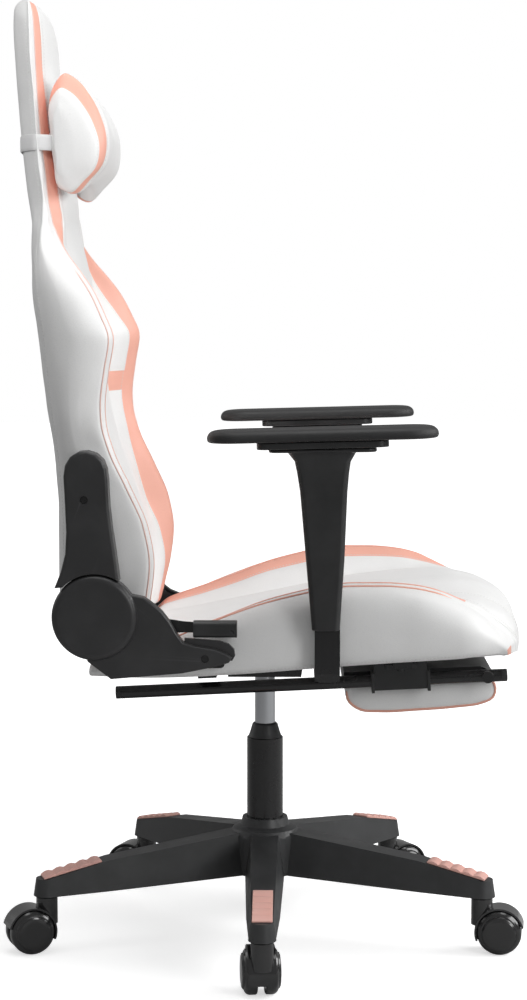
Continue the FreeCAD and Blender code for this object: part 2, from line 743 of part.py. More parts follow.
def upper_cover(name, side):
    """Bell-shaped cover of the back's hinge plate; its foot follows the dome."""
    label = f"hinge_cover_upper_{name}"
    body = new_body(label)
    rim_in = D.upper_plate_in + D.steel_thick + 0.4
    low, high = span(side, rim_in, D.cover_out)
    slab(body, [(-260, 520), (-252, 540), (-246, 563), (-244.5, 590), (-246, 630),
                (-247.5, 660), (-245.5, 674), (-239, 684.5), (-229, 690.5), (-218, 691.5),
                (-207, 688), (-198.5, 680), (-194, 669), (-192.5, 655), (-191, 621),
                (-188, 594), (-184, 567), (-179, 528)], low, high)
    outer_level = side * float(D.cover_out)
    fillet(body, 4, lambda edge: at_level(edge, 0, outer_level))
    low, high = span(side, rim_in - 1, D.cover_out + 1)
    cross_hole(body, D.hinge_forward, D.hinge_height, D.dome_radius + 1.2, low, high)
    low, high = span(side, rim_in - 1, D.cover_out - 3)
    inner = polygon(body, "YZ_Plane", facing([
        (-250, 530), (-243, 575), (-241, 615), (-233, 618), (-212, 618), (-197, 612),
        (-191, 580), (-184, 545), (-200, 541), (-225, 541)]), low)
    pocket(body, inner, high - low, upward=True)
    forward, height = UPPER_SCREW
    low, high = span(side, rim_in - 1, D.cover_out + 1)
    cross_hole(body, forward, height, D.screw_radius + 0.05, low, high)
    low, high = span(side, D.cover_out - 4, D.cover_out + 1)
    cross_hole(body, forward, height, 5, low, high)
    return keep(label, body)


def cover_screws(label, places, head_out, plate_in):
    """Screws through the hinge covers into their plates, on both sides."""
    body = new_body(label)
    for side in SIDES.values():
        for forward, height in places:
            low, high = span(side, plate_in, head_out)
            disc(body, forward, height, D.screw_radius, low, high)
            low, high = span(side, head_out - 2.5, head_out)
            disc(body, forward, height, 4.5, low, high)
    return keep(label, body)


def recline_lever():
    side = SIDES["R"]
    gap_in = D.lower_plate_in + D.steel_thick + 1.2
    body = new_body("recline_lever")
    low, high = span(side, gap_in, gap_in + 3.2)
    slab(body, [(-161, 466), (-161, 478), (-150, 484), (-100, 476), (-44, 472), (-44, 461),
                (-100, 462), (-150, 460)], low, high)
    cross_hole(body, D.lever_forward, D.lever_height, 4.1, low - 1, high + 1)
    keep("recline_lever", body)

    grip = new_body("recline_lever_grip")
    low, high = span(side, 267, 290)
    slab(grip, [(-87, 456.5), (-32, 456.5), (-32, 477), (-87, 477)], low, high)
    fillet(grip, 6, lambda edge: along(edge, Vector(0, 1, 0)))
    low, high = span(side, gap_in - 0.02, gap_in + 3.22)
    slot = polygon(grip, "YZ_Plane", facing([
        (-90, 461.5), (-43.9, 460.8), (-43.9, 472.2), (-90, 475.5)]), low)
    pocket(grip, slot, high - low, upward=True)
    return keep("recline_lever_grip", grip)


# ---------------------------------------------------------------- armrests

def arm_bracket(name, side):
    """Flat steel bar: up the outside of the seat, and in under it to the front cross bar."""
    label = f"armrest_bracket_{name}"
    body = new_body(label)
    outer = D.arm_x + D.bracket_thick / 2
    inner = D.arm_x - D.bracket_thick / 2
    low, high = 397.5, 397.5 + DIMENSIONS["bracket_thick"]
    points = [(192, low), (outer - 10, low), (outer, low + 12), (outer, 600), (inner, 600),
              (inner, high + 10), (inner - 8, high), (192, high)]
    sketch = polygon(body, "XZ_Plane", [(x * side, z) for x, z in points],
                     D.bracket_forward - D.bracket_width / 2)
    pad(body, sketch, D.bracket_width)
    rear = D.bracket_forward - D.bracket_width / 2
    front = D.bracket_forward + D.bracket_width / 2
    corner = 6
    start, end = span(side, inner - 10, outer + 1)
    for edge, way in ((rear, 1), (front, -1)):
        cut = polygon(body, "YZ_Plane", facing([
            (edge - way, low - 1), (edge + way * corner, low - 1),
            (edge - way, low + corner + 1)]), start)
        pocket(body, cut, end - start, upward=True)
    spots = [(x, pitched_y(f, 20)) for x, f in ARM_BOLTS if x * side > 0]
    pocket(body, circles(body, "XY_Plane", spots, 3.6, low - 1), 8, upward=True)
    return keep(label, body)


def arm_post(name, side):
    """Tapered T-post over the bracket, with the fixed plate on its head."""
    label = f"armrest_post_{name}"
    body = new_body(label)
    centre = side * D.arm_x

    def section(height, rear, front, half, cut=5):
        """A rectangle with its corners cut off."""
        return polygon(body, "XY_Plane", [
            (centre - half + cut, -rear), (centre + half - cut, -rear),
            (centre + half, -rear - cut), (centre + half, -front + cut),
            (centre + half - cut, -front), (centre - half + cut, -front),
            (centre - half, -front + cut), (centre - half, -rear - cut)], height)

    loft(body, [section(D.post_bottom, 62, 97, 15), section(554, 54.5, 102.5, 16.5),
                section(641, 46.8, 106, 18), section(665, 43, 108, 19),
                section(679, 40, 110, 20.5), section(688, 33, 115, 22.5),
                section(692.3, 30, 117, 23)], ruled=True)
    slab(body, [(8, 690), (142, 691.5), (142, 697), (8, 693.5)], centre - 31, centre + 31)
    fillet(body, 12, lambda edge: along(edge, Z_AXIS) and (
        abs(edge.Vertexes[0].Y + 8) < 0.1 or abs(edge.Vertexes[0].Y + 142) < 0.1))
    slot = polygon(body, "XY_Plane", [
        (centre - 3.2, -65), (centre + 3.2, -65), (centre + 3.2, -98), (centre - 3.2, -98)],
        D.post_bottom - 1)
    pocket(body, slot, 136, upward=True)
    pocket(body, circles(body, "XY_Plane", [(centre, -D.arm_forward)], 8.5, 678), 40,
           upward=True)
    return keep(label, body)


def arm_plate(name, side):
    """Plate that swivels on the post; its tongue guides the pad."""
    label = f"armrest_plate_{name}"
    body = new_body(label, arm_head(side))
    rear, front = -83, 81
    pad(body, polygon(body, "XY_Plane", [
        (-37, -front), (37, -front), (37, -rear), (-37, -rear)], 0), 8.5)
    fillet(body, 14, lambda edge: along(edge, Z_AXIS))
    tongue = D.tongue_width / 2
    pad(body, polygon(body, "XY_Plane", [
        (-tongue, -60), (tongue, -60), (tongue, 60), (-tongue, 60)], 8.5), D.tongue_height)
    pad(body, circles(body, "XY_Plane", [(0, 0)], 7.75, -14), 14.5)
    return keep(label, body)


def arm_pad(name, side):
    """Long pad with rounded ends, grooved underneath for the plate's tongue."""
    label = f"armrest_pad_{name}"
    body = new_body(label, arm_head(side))
    half = D.pad_width / 2
    rear, front = -145, 144
    underside = 8.8
    outline = [(-half, -front), (half, -front), (half, -rear), (-half, -rear)]
    pad(body, polygon(body, "XY_Plane", outline, underside), D.pad_thick)
    fillet(body, 38, lambda edge: along(edge, Z_AXIS))
    top = float(D.pad_thick) + underside
    fillet(body, 7, lambda edge: at_level(edge, 2, top))
    fillet(body, 3, lambda edge: at_level(edge, 2, underside))
    groove = D.tongue_width / 2 + D.run_gap
    pocket(body, polygon(body, "XY_Plane", [
        (-groove, -87), (groove, -87), (groove, 87), (-groove, 87)], underside - 1),
        D.tongue_height + 1.3, upward=True)
    return keep(label, body)


# ---------------------------------------------------------------- footrest

def footrest():
    for name, side in SIDES.items():
        sleeve = new_body(f"footrest_sleeve_{name}", under_seat())
        low, high = span(side, 155, 181)
        slab(sleeve, [(145, -11), (214, -11), (214, D.bar_low), (145, D.bar_low)], low, high)
        low, high = span(side, 155, 197)
        slab(sleeve, [(160, 19), (200, 19), (200, D.bar_low), (160, D.bar_low)], low, high)
        low, high = span(side, 153, 183)
        for start in (141, 214):
            slab(sleeve, [(start, -14), (start + 4, -14), (start + 4, 12), (start, 12)],
                 low, high)
        bore = circles(sleeve, "XZ_Plane", [(side * D.rail_x, 0)],
                       D.rail_radius + D.run_gap, 130)
        pocket(sleeve, bore, 100, upward=True)
        spots = [(x, -f) for x, f in FOOT_BOLTS if x * side > 0]
        pocket(sleeve, circles(sleeve, "XY_Plane", spots, 2.6, 15), 12, upward=True)
        keep(f"footrest_sleeve_{name}", sleeve)

        rail = new_body(f"footrest_rail_{name}", under_seat())
        pad(rail, circles(rail, "XZ_Plane", [(side * D.rail_x, 0)], D.rail_radius,
                          D.rail_rear), D.rail_front - D.rail_rear)
        low, high = span(side, 150, 190)
        cross_hole(rail, D.foot_axle_forward, 0, D.foot_axle_radius + 0.05, low, high)
        keep(f"footrest_rail_{name}", rail)

    caps = new_body("footrest_rail_caps", under_seat())
    spots = [(side * D.rail_x, 0) for side in SIDES.values()]
    pad(caps, circles(caps, "XZ_Plane", spots, D.rail_radius, D.rail_rear - 7), 7)
    pad(caps, circles(caps, "XZ_Plane", spots, D.rail_radius, D.rail_front), 8)
    keep("footrest_rail_caps", caps)

    axle = new_body("footrest_axle", under_seat())
    reach = D.rail_x + D.rail_radius
    disc(axle, D.foot_axle_forward, 0, D.foot_axle_radius, -reach, reach)
    for side in SIDES.values():
        low, high = span(side, reach, reach + 5)
        disc(axle, D.foot_axle_forward, 0, D.foot_axle_radius + 3, low, high)
    keep("footrest_axle", axle)

    tray = new_body("footrest_tray", under_seat())
    slab(tray, [(104, -8), (300, -8), (302, 2), (286, 10), (106, 10)],
         -D.tray_half, D.tray_half)
    bore = circles(tray, "YZ_Plane", [(-D.foot_axle_forward, 0)],
                   D.foot_axle_radius + D.run_gap)
    pocket(tray, bore, 2 * D.tray_half + 2, centred=True)
    keep("footrest_tray", tray)

    cushion = new_body("footrest_cushion", under_seat())
    slab(cushion, [(104, -8.2), (306, -8.2), (307, -24), (302, -34), (288, -39), (255, -43),
                   (180, -46), (135, -45), (116, -40), (108, -28)],
         -D.foot_pad_half, D.foot_pad_half)
    fillet(cushion, 8, lambda edge: along(edge, Z_AXIS) or along_short_end(edge))
    keep("footrest_cushion", cushion)


def along_short_end(edge):
    """Edges of the cushion's two side faces, apart from the ones on its flat back."""
    box = edge.BoundBox
    return box.XLength < 1e-4 and box.ZMin < -9


# ---------------------------------------------------------------- soft parts and back frame

SEAT_STATIONS = [  # forward, bottom, side crease, ridge, centre, half width, ridge half width
    (-224, 396, 402, 408, 408, 232, 200), (-150, 398, 425, 443, 432, 250, 220),
    (-100, 401, 432, 457, 440, 257, 222), (-40, 404, 440, 482, 452, 261, 223),
    (40, 409, 448, 506, 468, 262, 223), (114, 416, 455, 517, 484, 262, 222),
    (190, 421, 458, 514, 494, 260, 218), (250, 424, 458, 502, 499, 256, 208),
    (292, 424, 456, 496, 501, 246, 190), (320, 423, 448, 478, 489, 226, 168),
    (338, 423, 441, 458, 471, 205, 150), (345, 426, 438, 445, 452, 190, 140)]

BACK_STATIONS = [  # height, rear, ridge, centre, half width, ridge half width
    (438, -246, -163, -178, 228, 212), (470, -256, -150, -172, 250, 230),
    (545, -257, -139, -172, 257, 236), (620, -258, -159, -190, 258, 238),
    (690, -264, -190, -215, 259, 240), (745, -271, -199, -227, 268, 242),
    (820, -279, -191, -236, 269, 240), (880, -287, -210, -244, 262, 230),
    (925, -292, -240, -250, 245, 205), (955, -296, -260, -257, 214, 176),
    (1005, -303, -268, -264, 152, 122), (1090, -312, -279, -275, 147, 115),
    (1180, -319, -287, -284, 145, 115), (1235, -322, -294, -289, 138, 108),
    (1262, -321, -301, -297, 120, 90), (1277, -317, -307, -305, 80, 60)]


def both_halves(half):
    """A closed ring from the points of its +X half, whose ends lie on the mid-plane."""
    return half + [(-x, other) for x, other in reversed(half[1:-1])]


def skin(label, rings):
    """A closed solid through rings of points, with straight runs from ring to ring."""
    wires = [Part.makePolygon(ring + ring[:1]) for ring in rings]
    feature = doc.addObject("Part::Feature", label)
    feature.Shape = Part.makeLoft(wires, True, True)
    return feature


def seat_ring(forward, bottom, crease, ridge, centre, half, ridge_half):
    trough = ridge_half - 42
    outline = both_halves([
        (0, bottom), (half - 12, bottom), (half, crease - 8), (half - 1, crease + 8),
        (ridge_half + 12, ridge - 5), (ridge_half, ridge), (ridge_half - 12, ridge - 4),
        (trough, centre + 3), (0, centre)])
    return [Vector(x, -forward, z) for x, z in outline]


def seat_cushion():
    foam = skin("seat_foam", [seat_ring(*station) for station in SEAT_STATIONS])
    sweep = doc.addObject("Part::Cylinder", "back_sweep_room")
    bind(sweep, "Radius", D.seat_sweep)
    sweep.Height = 700
    sweep.Placement = Placement(
        Vector(-350, -float(D.hinge_forward), float(D.hinge_height)),
        Rotation(Vector(0, 1, 0), 90))
    seat = doc.addObject("Part::Cut", "seat_cushion")
    seat.Base = foam
    seat.Tool = sweep
    return keep("seat_cushion", seat)


def back_ring(height, rear, ridge, centre, half, ridge_half):
    depth = ridge - rear
    outline = both_halves([
        (0, rear - 3), (half * 0.82, rear), (half, rear + 0.3 * depth),
        (half - 3, rear + 0.62 * depth), (ridge_half + 8, ridge - 4), (ridge_half, ridge),
        (ridge_half - 14, ridge - 3), (ridge_half * 0.74, centre), (0, centre)])
    return [Vector(x, -forward, height) for x, forward in outline]


def back_cushion():
    return keep("back_cushion", skin(
        "back_cushion", [back_ring(*station) for station in BACK_STATIONS]))


def pillow():
    body = new_body("head_pillow")
    slab(body, [(-262, 1012), (-250, 1008), (-228, 1031), (-200, 1062), (-197, 1085),
                (-203, 1118), (-222, 1148), (-246, 1171), (-268, 1168), (-279.5, 1150),
                (-274, 1110), (-268, 1050)], -D.pillow_half, D.pillow_half)
    fillet(body, 10, lambda edge: edge.BoundBox.XLength < 1e-4)
    return keep("head_pillow", body)


def pillow_strap():
    """Elastic band round the back of the head part; its ends meet the pillow's rear."""
    low, wide, thick = 1072.0, float(D.strap_width), float(D.strap_thick)
    inner = [(136, -277.2), (148.5, -291), (148.5, -302), (122, -316), (0, -319)]
    outer = [(x + (thick if x else 0), y - thick) for x, y in inner]
    outer[0] = (inner[0][0] + thick, inner[0][1] + 2)
    right = inner + outer[::-1]
    ring = right[:5] + [(-x, y) for x, y in inner[::-1][1:]]
    ring += [(-x, y) for x, y in outer[:-1]] + outer[::-1]
    band = Part.Face(Part.makePolygon([Vector(x, -f, low) for x, f in ring + ring[:1]]))
    feature = doc.addObject("Part::Feature", "pillow_strap")
    feature.Shape = band.extrude(Vector(0, 0, wide))
    return keep("pillow_strap", feature)


def back_frame():
    """Bent tube in the back's foam: two uprights that step in to the head part."""
    place = Placement(Vector(0, -float(D.back_tube_forward), float(D.hinge_height)),
                      Rotation(X_AXIS, -float(D.back_pitch)))
    body = new_body("back_frame", place)
    half = D.back_tube_half
    pipe(body, "XZ_Plane", [
        (half, 0), (half, 385), (98, 520), (98, 745), (-98, 745), (-98, 520),
        (-half, 385), (-half, 0)], 40, D.tube_radius, "XY_Plane", 0, (half, 0))
    slab(body, [(-6, 12), (6, 12), (6, 34), (-6, 34)], -half, half)
    slab(body, [(-6, 300), (6, 300), (6, 322), (-6, 322)], -half, half)
    for side in SIDES.values():
        low, high = span(side, half, D.upper_plate_in)
        disc(body, 0, 85, 6, low, high)
        disc(body, 8, 160, 6, low, high)
    return keep("back_frame", body)


# ---------------------------------------------------------------- build and write

def build():
    star_base()
    foot_grips()
    gas_lift()
    for number in range(1, len(CASTERS) + 1):
        caster(number)
    seat_plate()
    bolt_group("seat_plate_bolts", PLATE_BOLTS, 18, 5.5, 21.9, 3, 30)
    bolt_group("armrest_bolts", ARM_BOLTS, 13.4, 5.5, 17.4, 3, 33)
    bolt_group("footrest_bolts", FOOT_BOLTS, 15, 4.5, 18.9, 2.5, 33)
    seat_frame()
    lift_lever()
    for name, side in SIDES.items():
        lower_plate(name, side)
        upper_plate(name, side)
        lower_cover(name, side)
        upper_cover(name, side)
        arm_bracket(name, side)
        arm_post(name, side)
        arm_plate(name, side)
        arm_pad(name, side)
    recline_pins()
    recline_springs()
    cover_screws("hinge_screws_lower", LOWER_SCREWS, D.boot_out - 0.5, D.lower_plate_in)
    cover_screws("hinge_screws_upper", [UPPER_SCREW], D.cover_out - 1.5, D.upper_plate_in)
    recline_lever()
    footrest()
    seat_cushion()
    back_cushion()
    pillow()
    pillow_strap()
    back_frame()


def write():
    doc.recompute()
    for thing in doc.Objects:
        if "Invalid" in thing.State or "Error" in thing.State:
            raise RuntimeError(f"{thing.Label} failed: {thing.State}")
    os.makedirs("parts", exist_ok=True)
    bad = [label for label, thing in nodes.items()
           if thing.Shape.isNull() or not thing.Shape.isValid() or not thing.Shape.Solids]
    if bad:
        raise RuntimeError(f"no valid solid in {', '.join(bad)}")
    for label, thing in nodes.items():
        thing.Shape.exportStep(f"parts/{label}.step")
    print(f"{len(nodes)} nodes written")


build()
write()
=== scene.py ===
"""Looks of the office gaming chair: leather covers, finishes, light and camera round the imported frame.

Lengths in the tables are millimetres. "Forward" is the way the sitter faces, which is -Y.
"""

import json
import math
from contextlib import contextmanager

import bmesh
import bpy
import numpy as np
from mathutils import Matrix, Vector
from mathutils.bvhtree import BVHTree

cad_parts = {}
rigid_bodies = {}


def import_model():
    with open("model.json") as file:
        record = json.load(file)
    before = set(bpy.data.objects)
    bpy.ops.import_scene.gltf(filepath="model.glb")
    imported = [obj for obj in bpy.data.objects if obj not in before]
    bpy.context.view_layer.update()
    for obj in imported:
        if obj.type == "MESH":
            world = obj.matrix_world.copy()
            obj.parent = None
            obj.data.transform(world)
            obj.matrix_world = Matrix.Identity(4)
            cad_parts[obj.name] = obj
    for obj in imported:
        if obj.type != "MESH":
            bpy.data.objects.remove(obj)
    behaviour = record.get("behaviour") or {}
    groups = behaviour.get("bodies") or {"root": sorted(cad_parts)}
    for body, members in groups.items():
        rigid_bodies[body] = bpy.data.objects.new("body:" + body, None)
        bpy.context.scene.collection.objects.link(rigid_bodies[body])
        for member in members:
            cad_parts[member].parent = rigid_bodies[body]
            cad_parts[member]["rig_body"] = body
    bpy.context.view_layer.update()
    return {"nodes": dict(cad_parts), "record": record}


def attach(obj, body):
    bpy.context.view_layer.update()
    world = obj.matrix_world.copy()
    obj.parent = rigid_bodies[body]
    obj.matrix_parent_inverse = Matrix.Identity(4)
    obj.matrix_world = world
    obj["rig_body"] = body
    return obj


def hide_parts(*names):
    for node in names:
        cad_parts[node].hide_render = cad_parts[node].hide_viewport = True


MM = 0.001
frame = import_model()
nodes = frame["nodes"]
scene = bpy.context.scene


# ------ finishes

class Finish:
    """One procedural material while it is put together."""

    def __init__(self, name, colour, roughness, **sockets):
        self.material = bpy.data.materials.new(name)
        self.material.use_nodes = True
        self.tree = self.material.node_tree
        self.shader = self.tree.nodes["Principled BSDF"]
        self.colour = (*colour, 1.0)
        self.roughness = roughness
        self.shader.inputs["Base Color"].default_value = self.colour
        self.shader.inputs["Roughness"].default_value = roughness
        for socket, value in sockets.items():
            self.shader.inputs[socket.replace("_", " ")].default_value = value
        self.place = self.node("TexCoord").outputs["Object"]
        self.height = None

    def node(self, kind, inputs=(), **settings):
        """A node with its settings, and its inputs by name or number."""
        made = self.tree.nodes.new("ShaderNode" + kind)
        for key, value in settings.items():
            setattr(made, key, value)
        for key, value in dict(inputs).items():
            if isinstance(value, bpy.types.NodeSocket):
                self.tree.links.new(value, made.inputs[key])
            else:
                made.inputs[key].default_value = value
        return made

    def noise(self, scale, detail=3.0, stretch=None):
        """Noise with features of about 1/scale metres."""
        place = self.place
        if stretch:
            place = self.node("Mapping", {"Vector": place, "Scale": stretch}).outputs[0]
        return self.node("TexNoise", {"Vector": place, "Scale": scale,
                                      "Detail": detail}).outputs["Fac"]

    def cells(self, scale):
        """Height of small rounded cells with fine creases between them."""
        crease = self.node("TexVoronoi", {"Vector": self.place, "Scale": scale},
                           feature="DISTANCE_TO_EDGE").outputs["Distance"]
        return self.remap(crease, 0.0, 0.16, 0.0, 1.0)

    def remap(self, value, low, high, to_low, to_high):
        return self.node("MapRange", {"Value": value, "From Min": low, "From Max": high,
                                      "To Min": to_low, "To Max": to_high}).outputs[0]

    def blend(self, factor, first, second):
        mix = self.node("Mix", {0: factor, 6: first, 7: second}, data_type="RGBA")
        return mix.outputs[2]

    def tint(self, factor, other):
        """Moves the colour towards another where factor is high."""
        now = self.shader.inputs["Base Color"]
        first = now.links[0].from_socket if now.is_linked else self.colour
        self.tree.links.new(self.blend(factor, first, (*other, 1.0)), now)

    def vary_roughness(self, factor, spread):
        ranged = self.remap(factor, 0.3, 0.7, self.roughness - spread,
                            self.roughness + spread)
        self.tree.links.new(ranged, self.shader.inputs["Roughness"])

    def bump(self, height, strength, distance):
        inputs = {"Height": height, "Strength": strength, "Distance": distance}
        if self.height:
            inputs["Normal"] = self.height
        self.height = self.node("Bump", inputs).outputs["Normal"]
        self.tree.links.new(self.height, self.shader.inputs["Normal"])

    def edges(self, low, high):
        """High on edges that stick out, where a finish wears and where rims get a painted highlight."""
        pointed = self.node("NewGeometry").outputs["Pointiness"]
        return self.remap(pointed, low, high, 0.0, 1.0)


def leather(name, colour, deep):
    """Coated leather: pebbled grain, faint mottling, and a darker tone down in the grain."""
    f = Finish(name, colour, 0.46, Specular_IOR_Level=0.42, Coat_Weight=0.06,
               Coat_Roughness=0.35)
    grain = f.cells(620.0)
    fine = f.noise(2600.0, 2.0)
    cloud = f.noise(14.0, 4.0)
    f.tint(f.remap(grain, 0.0, 0.55, 0.3, 0.0), deep)
    f.tint(f.remap(cloud, 0.45, 0.8, 0.0, 0.18), deep)
    f.vary_roughness(cloud, 0.05)
    f.bump(f.noise(95.0, 3.0), 0.12, 0.0012)
    f.bump(grain, 0.22, 0.00022)
    f.bump(fine, 0.1, 0.0001)
    return f.material


def moulded(name, colour, roughness, texture, scale, wear_and_rim_light, coat=0.0):
    """Moulded plastic: spark-eroded skin, uneven sheen, and edges painted a little lighter, partly as
    wear and partly as a painted highlight on the rims.
    """
    f = Finish(name, colour, roughness, Coat_Weight=coat, Coat_Roughness=0.12)
    skin = f.noise(scale, 3.0)
    patch = f.noise(22.0, 4.0)
    f.tint(f.remap(patch, 0.42, 0.75, 0.0, 0.35), wear_and_rim_light)
    # painted rim highlight, partly wear too: edges that stick out are tinted towards this colour
    f.tint(f.edges(0.53, 0.75), wear_and_rim_light)
    f.vary_roughness(patch, 0.07)
    f.bump(skin, texture, 0.00025)
    return f.material


def metal(name, colour, roughness, metallic, stretch, coat=0.0):
    """Metal or painted metal with fine drawn marks and handling smears."""
    f = Finish(name, colour, roughness, Metallic=metallic, Coat_Weight=coat,
               Coat_Roughness=0.08)
    marks = f.noise(240.0, 2.0, stretch)
    smear = f.noise(30.0, 4.0)
    f.vary_roughness(smear, roughness * 0.4)
    f.tint(f.remap(marks, 0.5, 0.8, 0.0, 0.12), [c * 0.8 for c in colour])
    f.bump(marks, 0.05, 0.00008)
    return f.material


def woven(name, colour, deep):
    """Elastic webbing: ribs along the band crossed by fine threads."""
    f = Finish(name, colour, 0.72, Sheen_Weight=0.25)
    ribs = f.node("TexWave", {"Vector": f.place, "Scale": 260.0, "Distortion": 0.3},
                  bands_direction="Z").outputs["Fac"]
    cross = f.node("TexWave", {"Vector": f.place, "Scale": 330.0, "Distortion": 0.6},
                   bands_direction="X").outputs["Fac"]
    f.tint(f.remap(ribs, 0.0, 0.5, 0.4, 0.0), deep)
    f.bump(ribs, 0.5, 0.0004)
    f.bump(cross, 0.3, 0.0002)
    return f.material


WHITE = leather("leather_white", (0.86, 0.86, 0.855), (0.66, 0.66, 0.66))
PINK = leather("leather_pink", (0.9, 0.46, 0.36), (0.72, 0.3, 0.23))
PIPING = leather("piping_pink", (0.9, 0.62, 0.56), (0.78, 0.45, 0.4))
THREAD = moulded("thread_white", (0.8, 0.79, 0.77), 0.7, 0.3, 4000.0, (0.7, 0.7, 0.7))
COVER = moulded("plastic_cover", (0.03, 0.03, 0.031), 0.38, 0.16, 1500.0,
                (0.055, 0.055, 0.057))
POST = moulded("plastic_post", (0.022, 0.0225, 0.023), 0.34, 0.12, 1800.0,
               (0.05, 0.05, 0.052))
NYLON = moulded("nylon_base", (0.038, 0.039, 0.04), 0.4, 0.2, 1300.0,
                (0.075, 0.077, 0.08))
WHEEL = moulded("wheel_black", (0.012, 0.012, 0.0125), 0.2, 0.05, 900.0,
                (0.03, 0.03, 0.03), coat=0.9)
ARM_PAD = moulded("pad_black", (0.016, 0.016, 0.0165), 0.55, 0.35, 1100.0,
                  (0.035, 0.035, 0.036))
GRIP = moulded("grip_pink", (0.9, 0.5, 0.43), 0.48, 0.2, 1400.0, (0.93, 0.6, 0.54))
STEEL = metal("steel_black", (0.006, 0.006, 0.0065), 0.24, 0.0, (1, 1, 1), coat=0.3)
CHROME = metal("chrome", (0.5, 0.51, 0.53), 0.1, 1.0, (1, 1, 0.05))
ZINC = metal("zinc_steel", (0.5, 0.5, 0.5), 0.34, 1.0, (1, 1, 1))
ELASTIC = woven("elastic_white", (0.84, 0.84, 0.84), (0.55, 0.55, 0.56))


# ------ curves and grids

def glide(stations, values, at):
    """Cubic through the values that never swings past them, read at the given stations."""
    s, v, at = np.asarray(stations, float), np.asarray(values, float), np.asarray(at, float)
    v = v.reshape(len(s), -1)
    step = np.diff(s)[:, None]
    slope = np.diff(v, axis=0) / step
    first, second = slope[:-1], slope[1:]
    near, far = 2 * step[1:] + step[:-1], step[1:] + 2 * step[:-1]
    with np.errstate(divide="ignore", invalid="ignore"):
        mean = (near + far) / (near / first + far / second)
    inner = np.where(first * second > 0, mean, 0.0)
    tangent = np.vstack([slope[:1], inner, slope[-1:]])
    i = np.clip(np.searchsorted(s, at) - 1, 0, len(s) - 2)
    t = ((at - s[i]) / (s[i + 1] - s[i]))[:, None]
    return ((2 * t**3 - 3 * t**2 + 1) * v[i] + (t**3 - 2 * t**2 + t) * step[i] * tangent[i]
            + (3 * t**2 - 2 * t**3) * v[i + 1] + (t**3 - t**2) * step[i] * tangent[i + 1])


def round_rings(keys, counts, corners):
    """Closed rings through keys (rows, keys, 3), with counts[j] points from key j to the next.
    The line turns smoothly through a key unless the key is in corners."""
    before = keys - np.roll(keys, 1, axis=1)
    after = np.roll(keys, -1, axis=1) - keys
    a = np.linalg.norm(before, axis=2, keepdims=True) + 1e-9
    b = np.linalg.norm(after, axis=2, keepdims=True) + 1e-9
    smooth = (b * before / a + a * after / b) / (a + b)
    sharp = np.zeros(keys.shape[1], bool)
    sharp[list(corners)] = True
    leave = np.where(sharp[None, :, None], after / b, smooth)
    arrive = np.roll(np.where(sharp[None, :, None], before / a, smooth), -1, axis=1)
    following = np.roll(keys, -1, axis=1)
    parts = []
    for j, count in enumerate(counts):
        t = (np.arange(count) / count)[None, :, None]
        p, q = keys[:, j:j + 1], following[:, j:j + 1]
        m, n = leave[:, j:j + 1] * b[:, j:j + 1], arrive[:, j:j + 1] * b[:, j:j + 1]
        parts.append((2 * t**3 - 3 * t**2 + 1) * p + (t**3 - 2 * t**2 + t) * m
                     + (3 * t**2 - 2 * t**3) * q + (t**3 - t**2) * n)
    return np.concatenate(parts, axis=1)


def placed(name, data):
    """A new object in the scene for a mesh, curve, light or camera."""
    obj = bpy.data.objects.new(name, data)
    scene.collection.objects.link(obj)
    return obj


def joined(low, high, count, flip=False):
    """Faces between two rings of count points, whose first points are numbered low and high."""
    made = []
    for c in range(count):
        n = (c + 1) % count
        face = [low + c, low + n, high + n, high + c]
        made.append(face[::-1] if flip else face)
    return made


def tube(rows, count):
    """Faces of a closed tube: rings of count points joined in order, and its two ends."""
    faces = []
    for r in range(rows - 1):
        faces += joined(r * count, (r + 1) * count, count)
    last = (rows - 1) * count
    return faces + [list(range(count))[::-1], list(range(last, last + count))]


@contextmanager
def editing(mesh):
    work = bmesh.new()
    work.from_mesh(mesh)
    yield work
    work.to_mesh(mesh)
    work.free()


def solid(name, points, faces, materials):
    """A smooth mesh object from plain lists."""
    mesh = bpy.data.meshes.new(name)
    mesh.from_pydata([list(map(float, p)) for p in points], [], faces)
    for material in materials:
        mesh.materials.append(material)
    mesh.shade_smooth()
    return placed(name, mesh)


END_SHARES = (0.86, 0.62, 0.34, 0.08)  # size of each loop that closes the end of a cover
END_SPINE = 0.6                        # length of the middle line that they shrink to


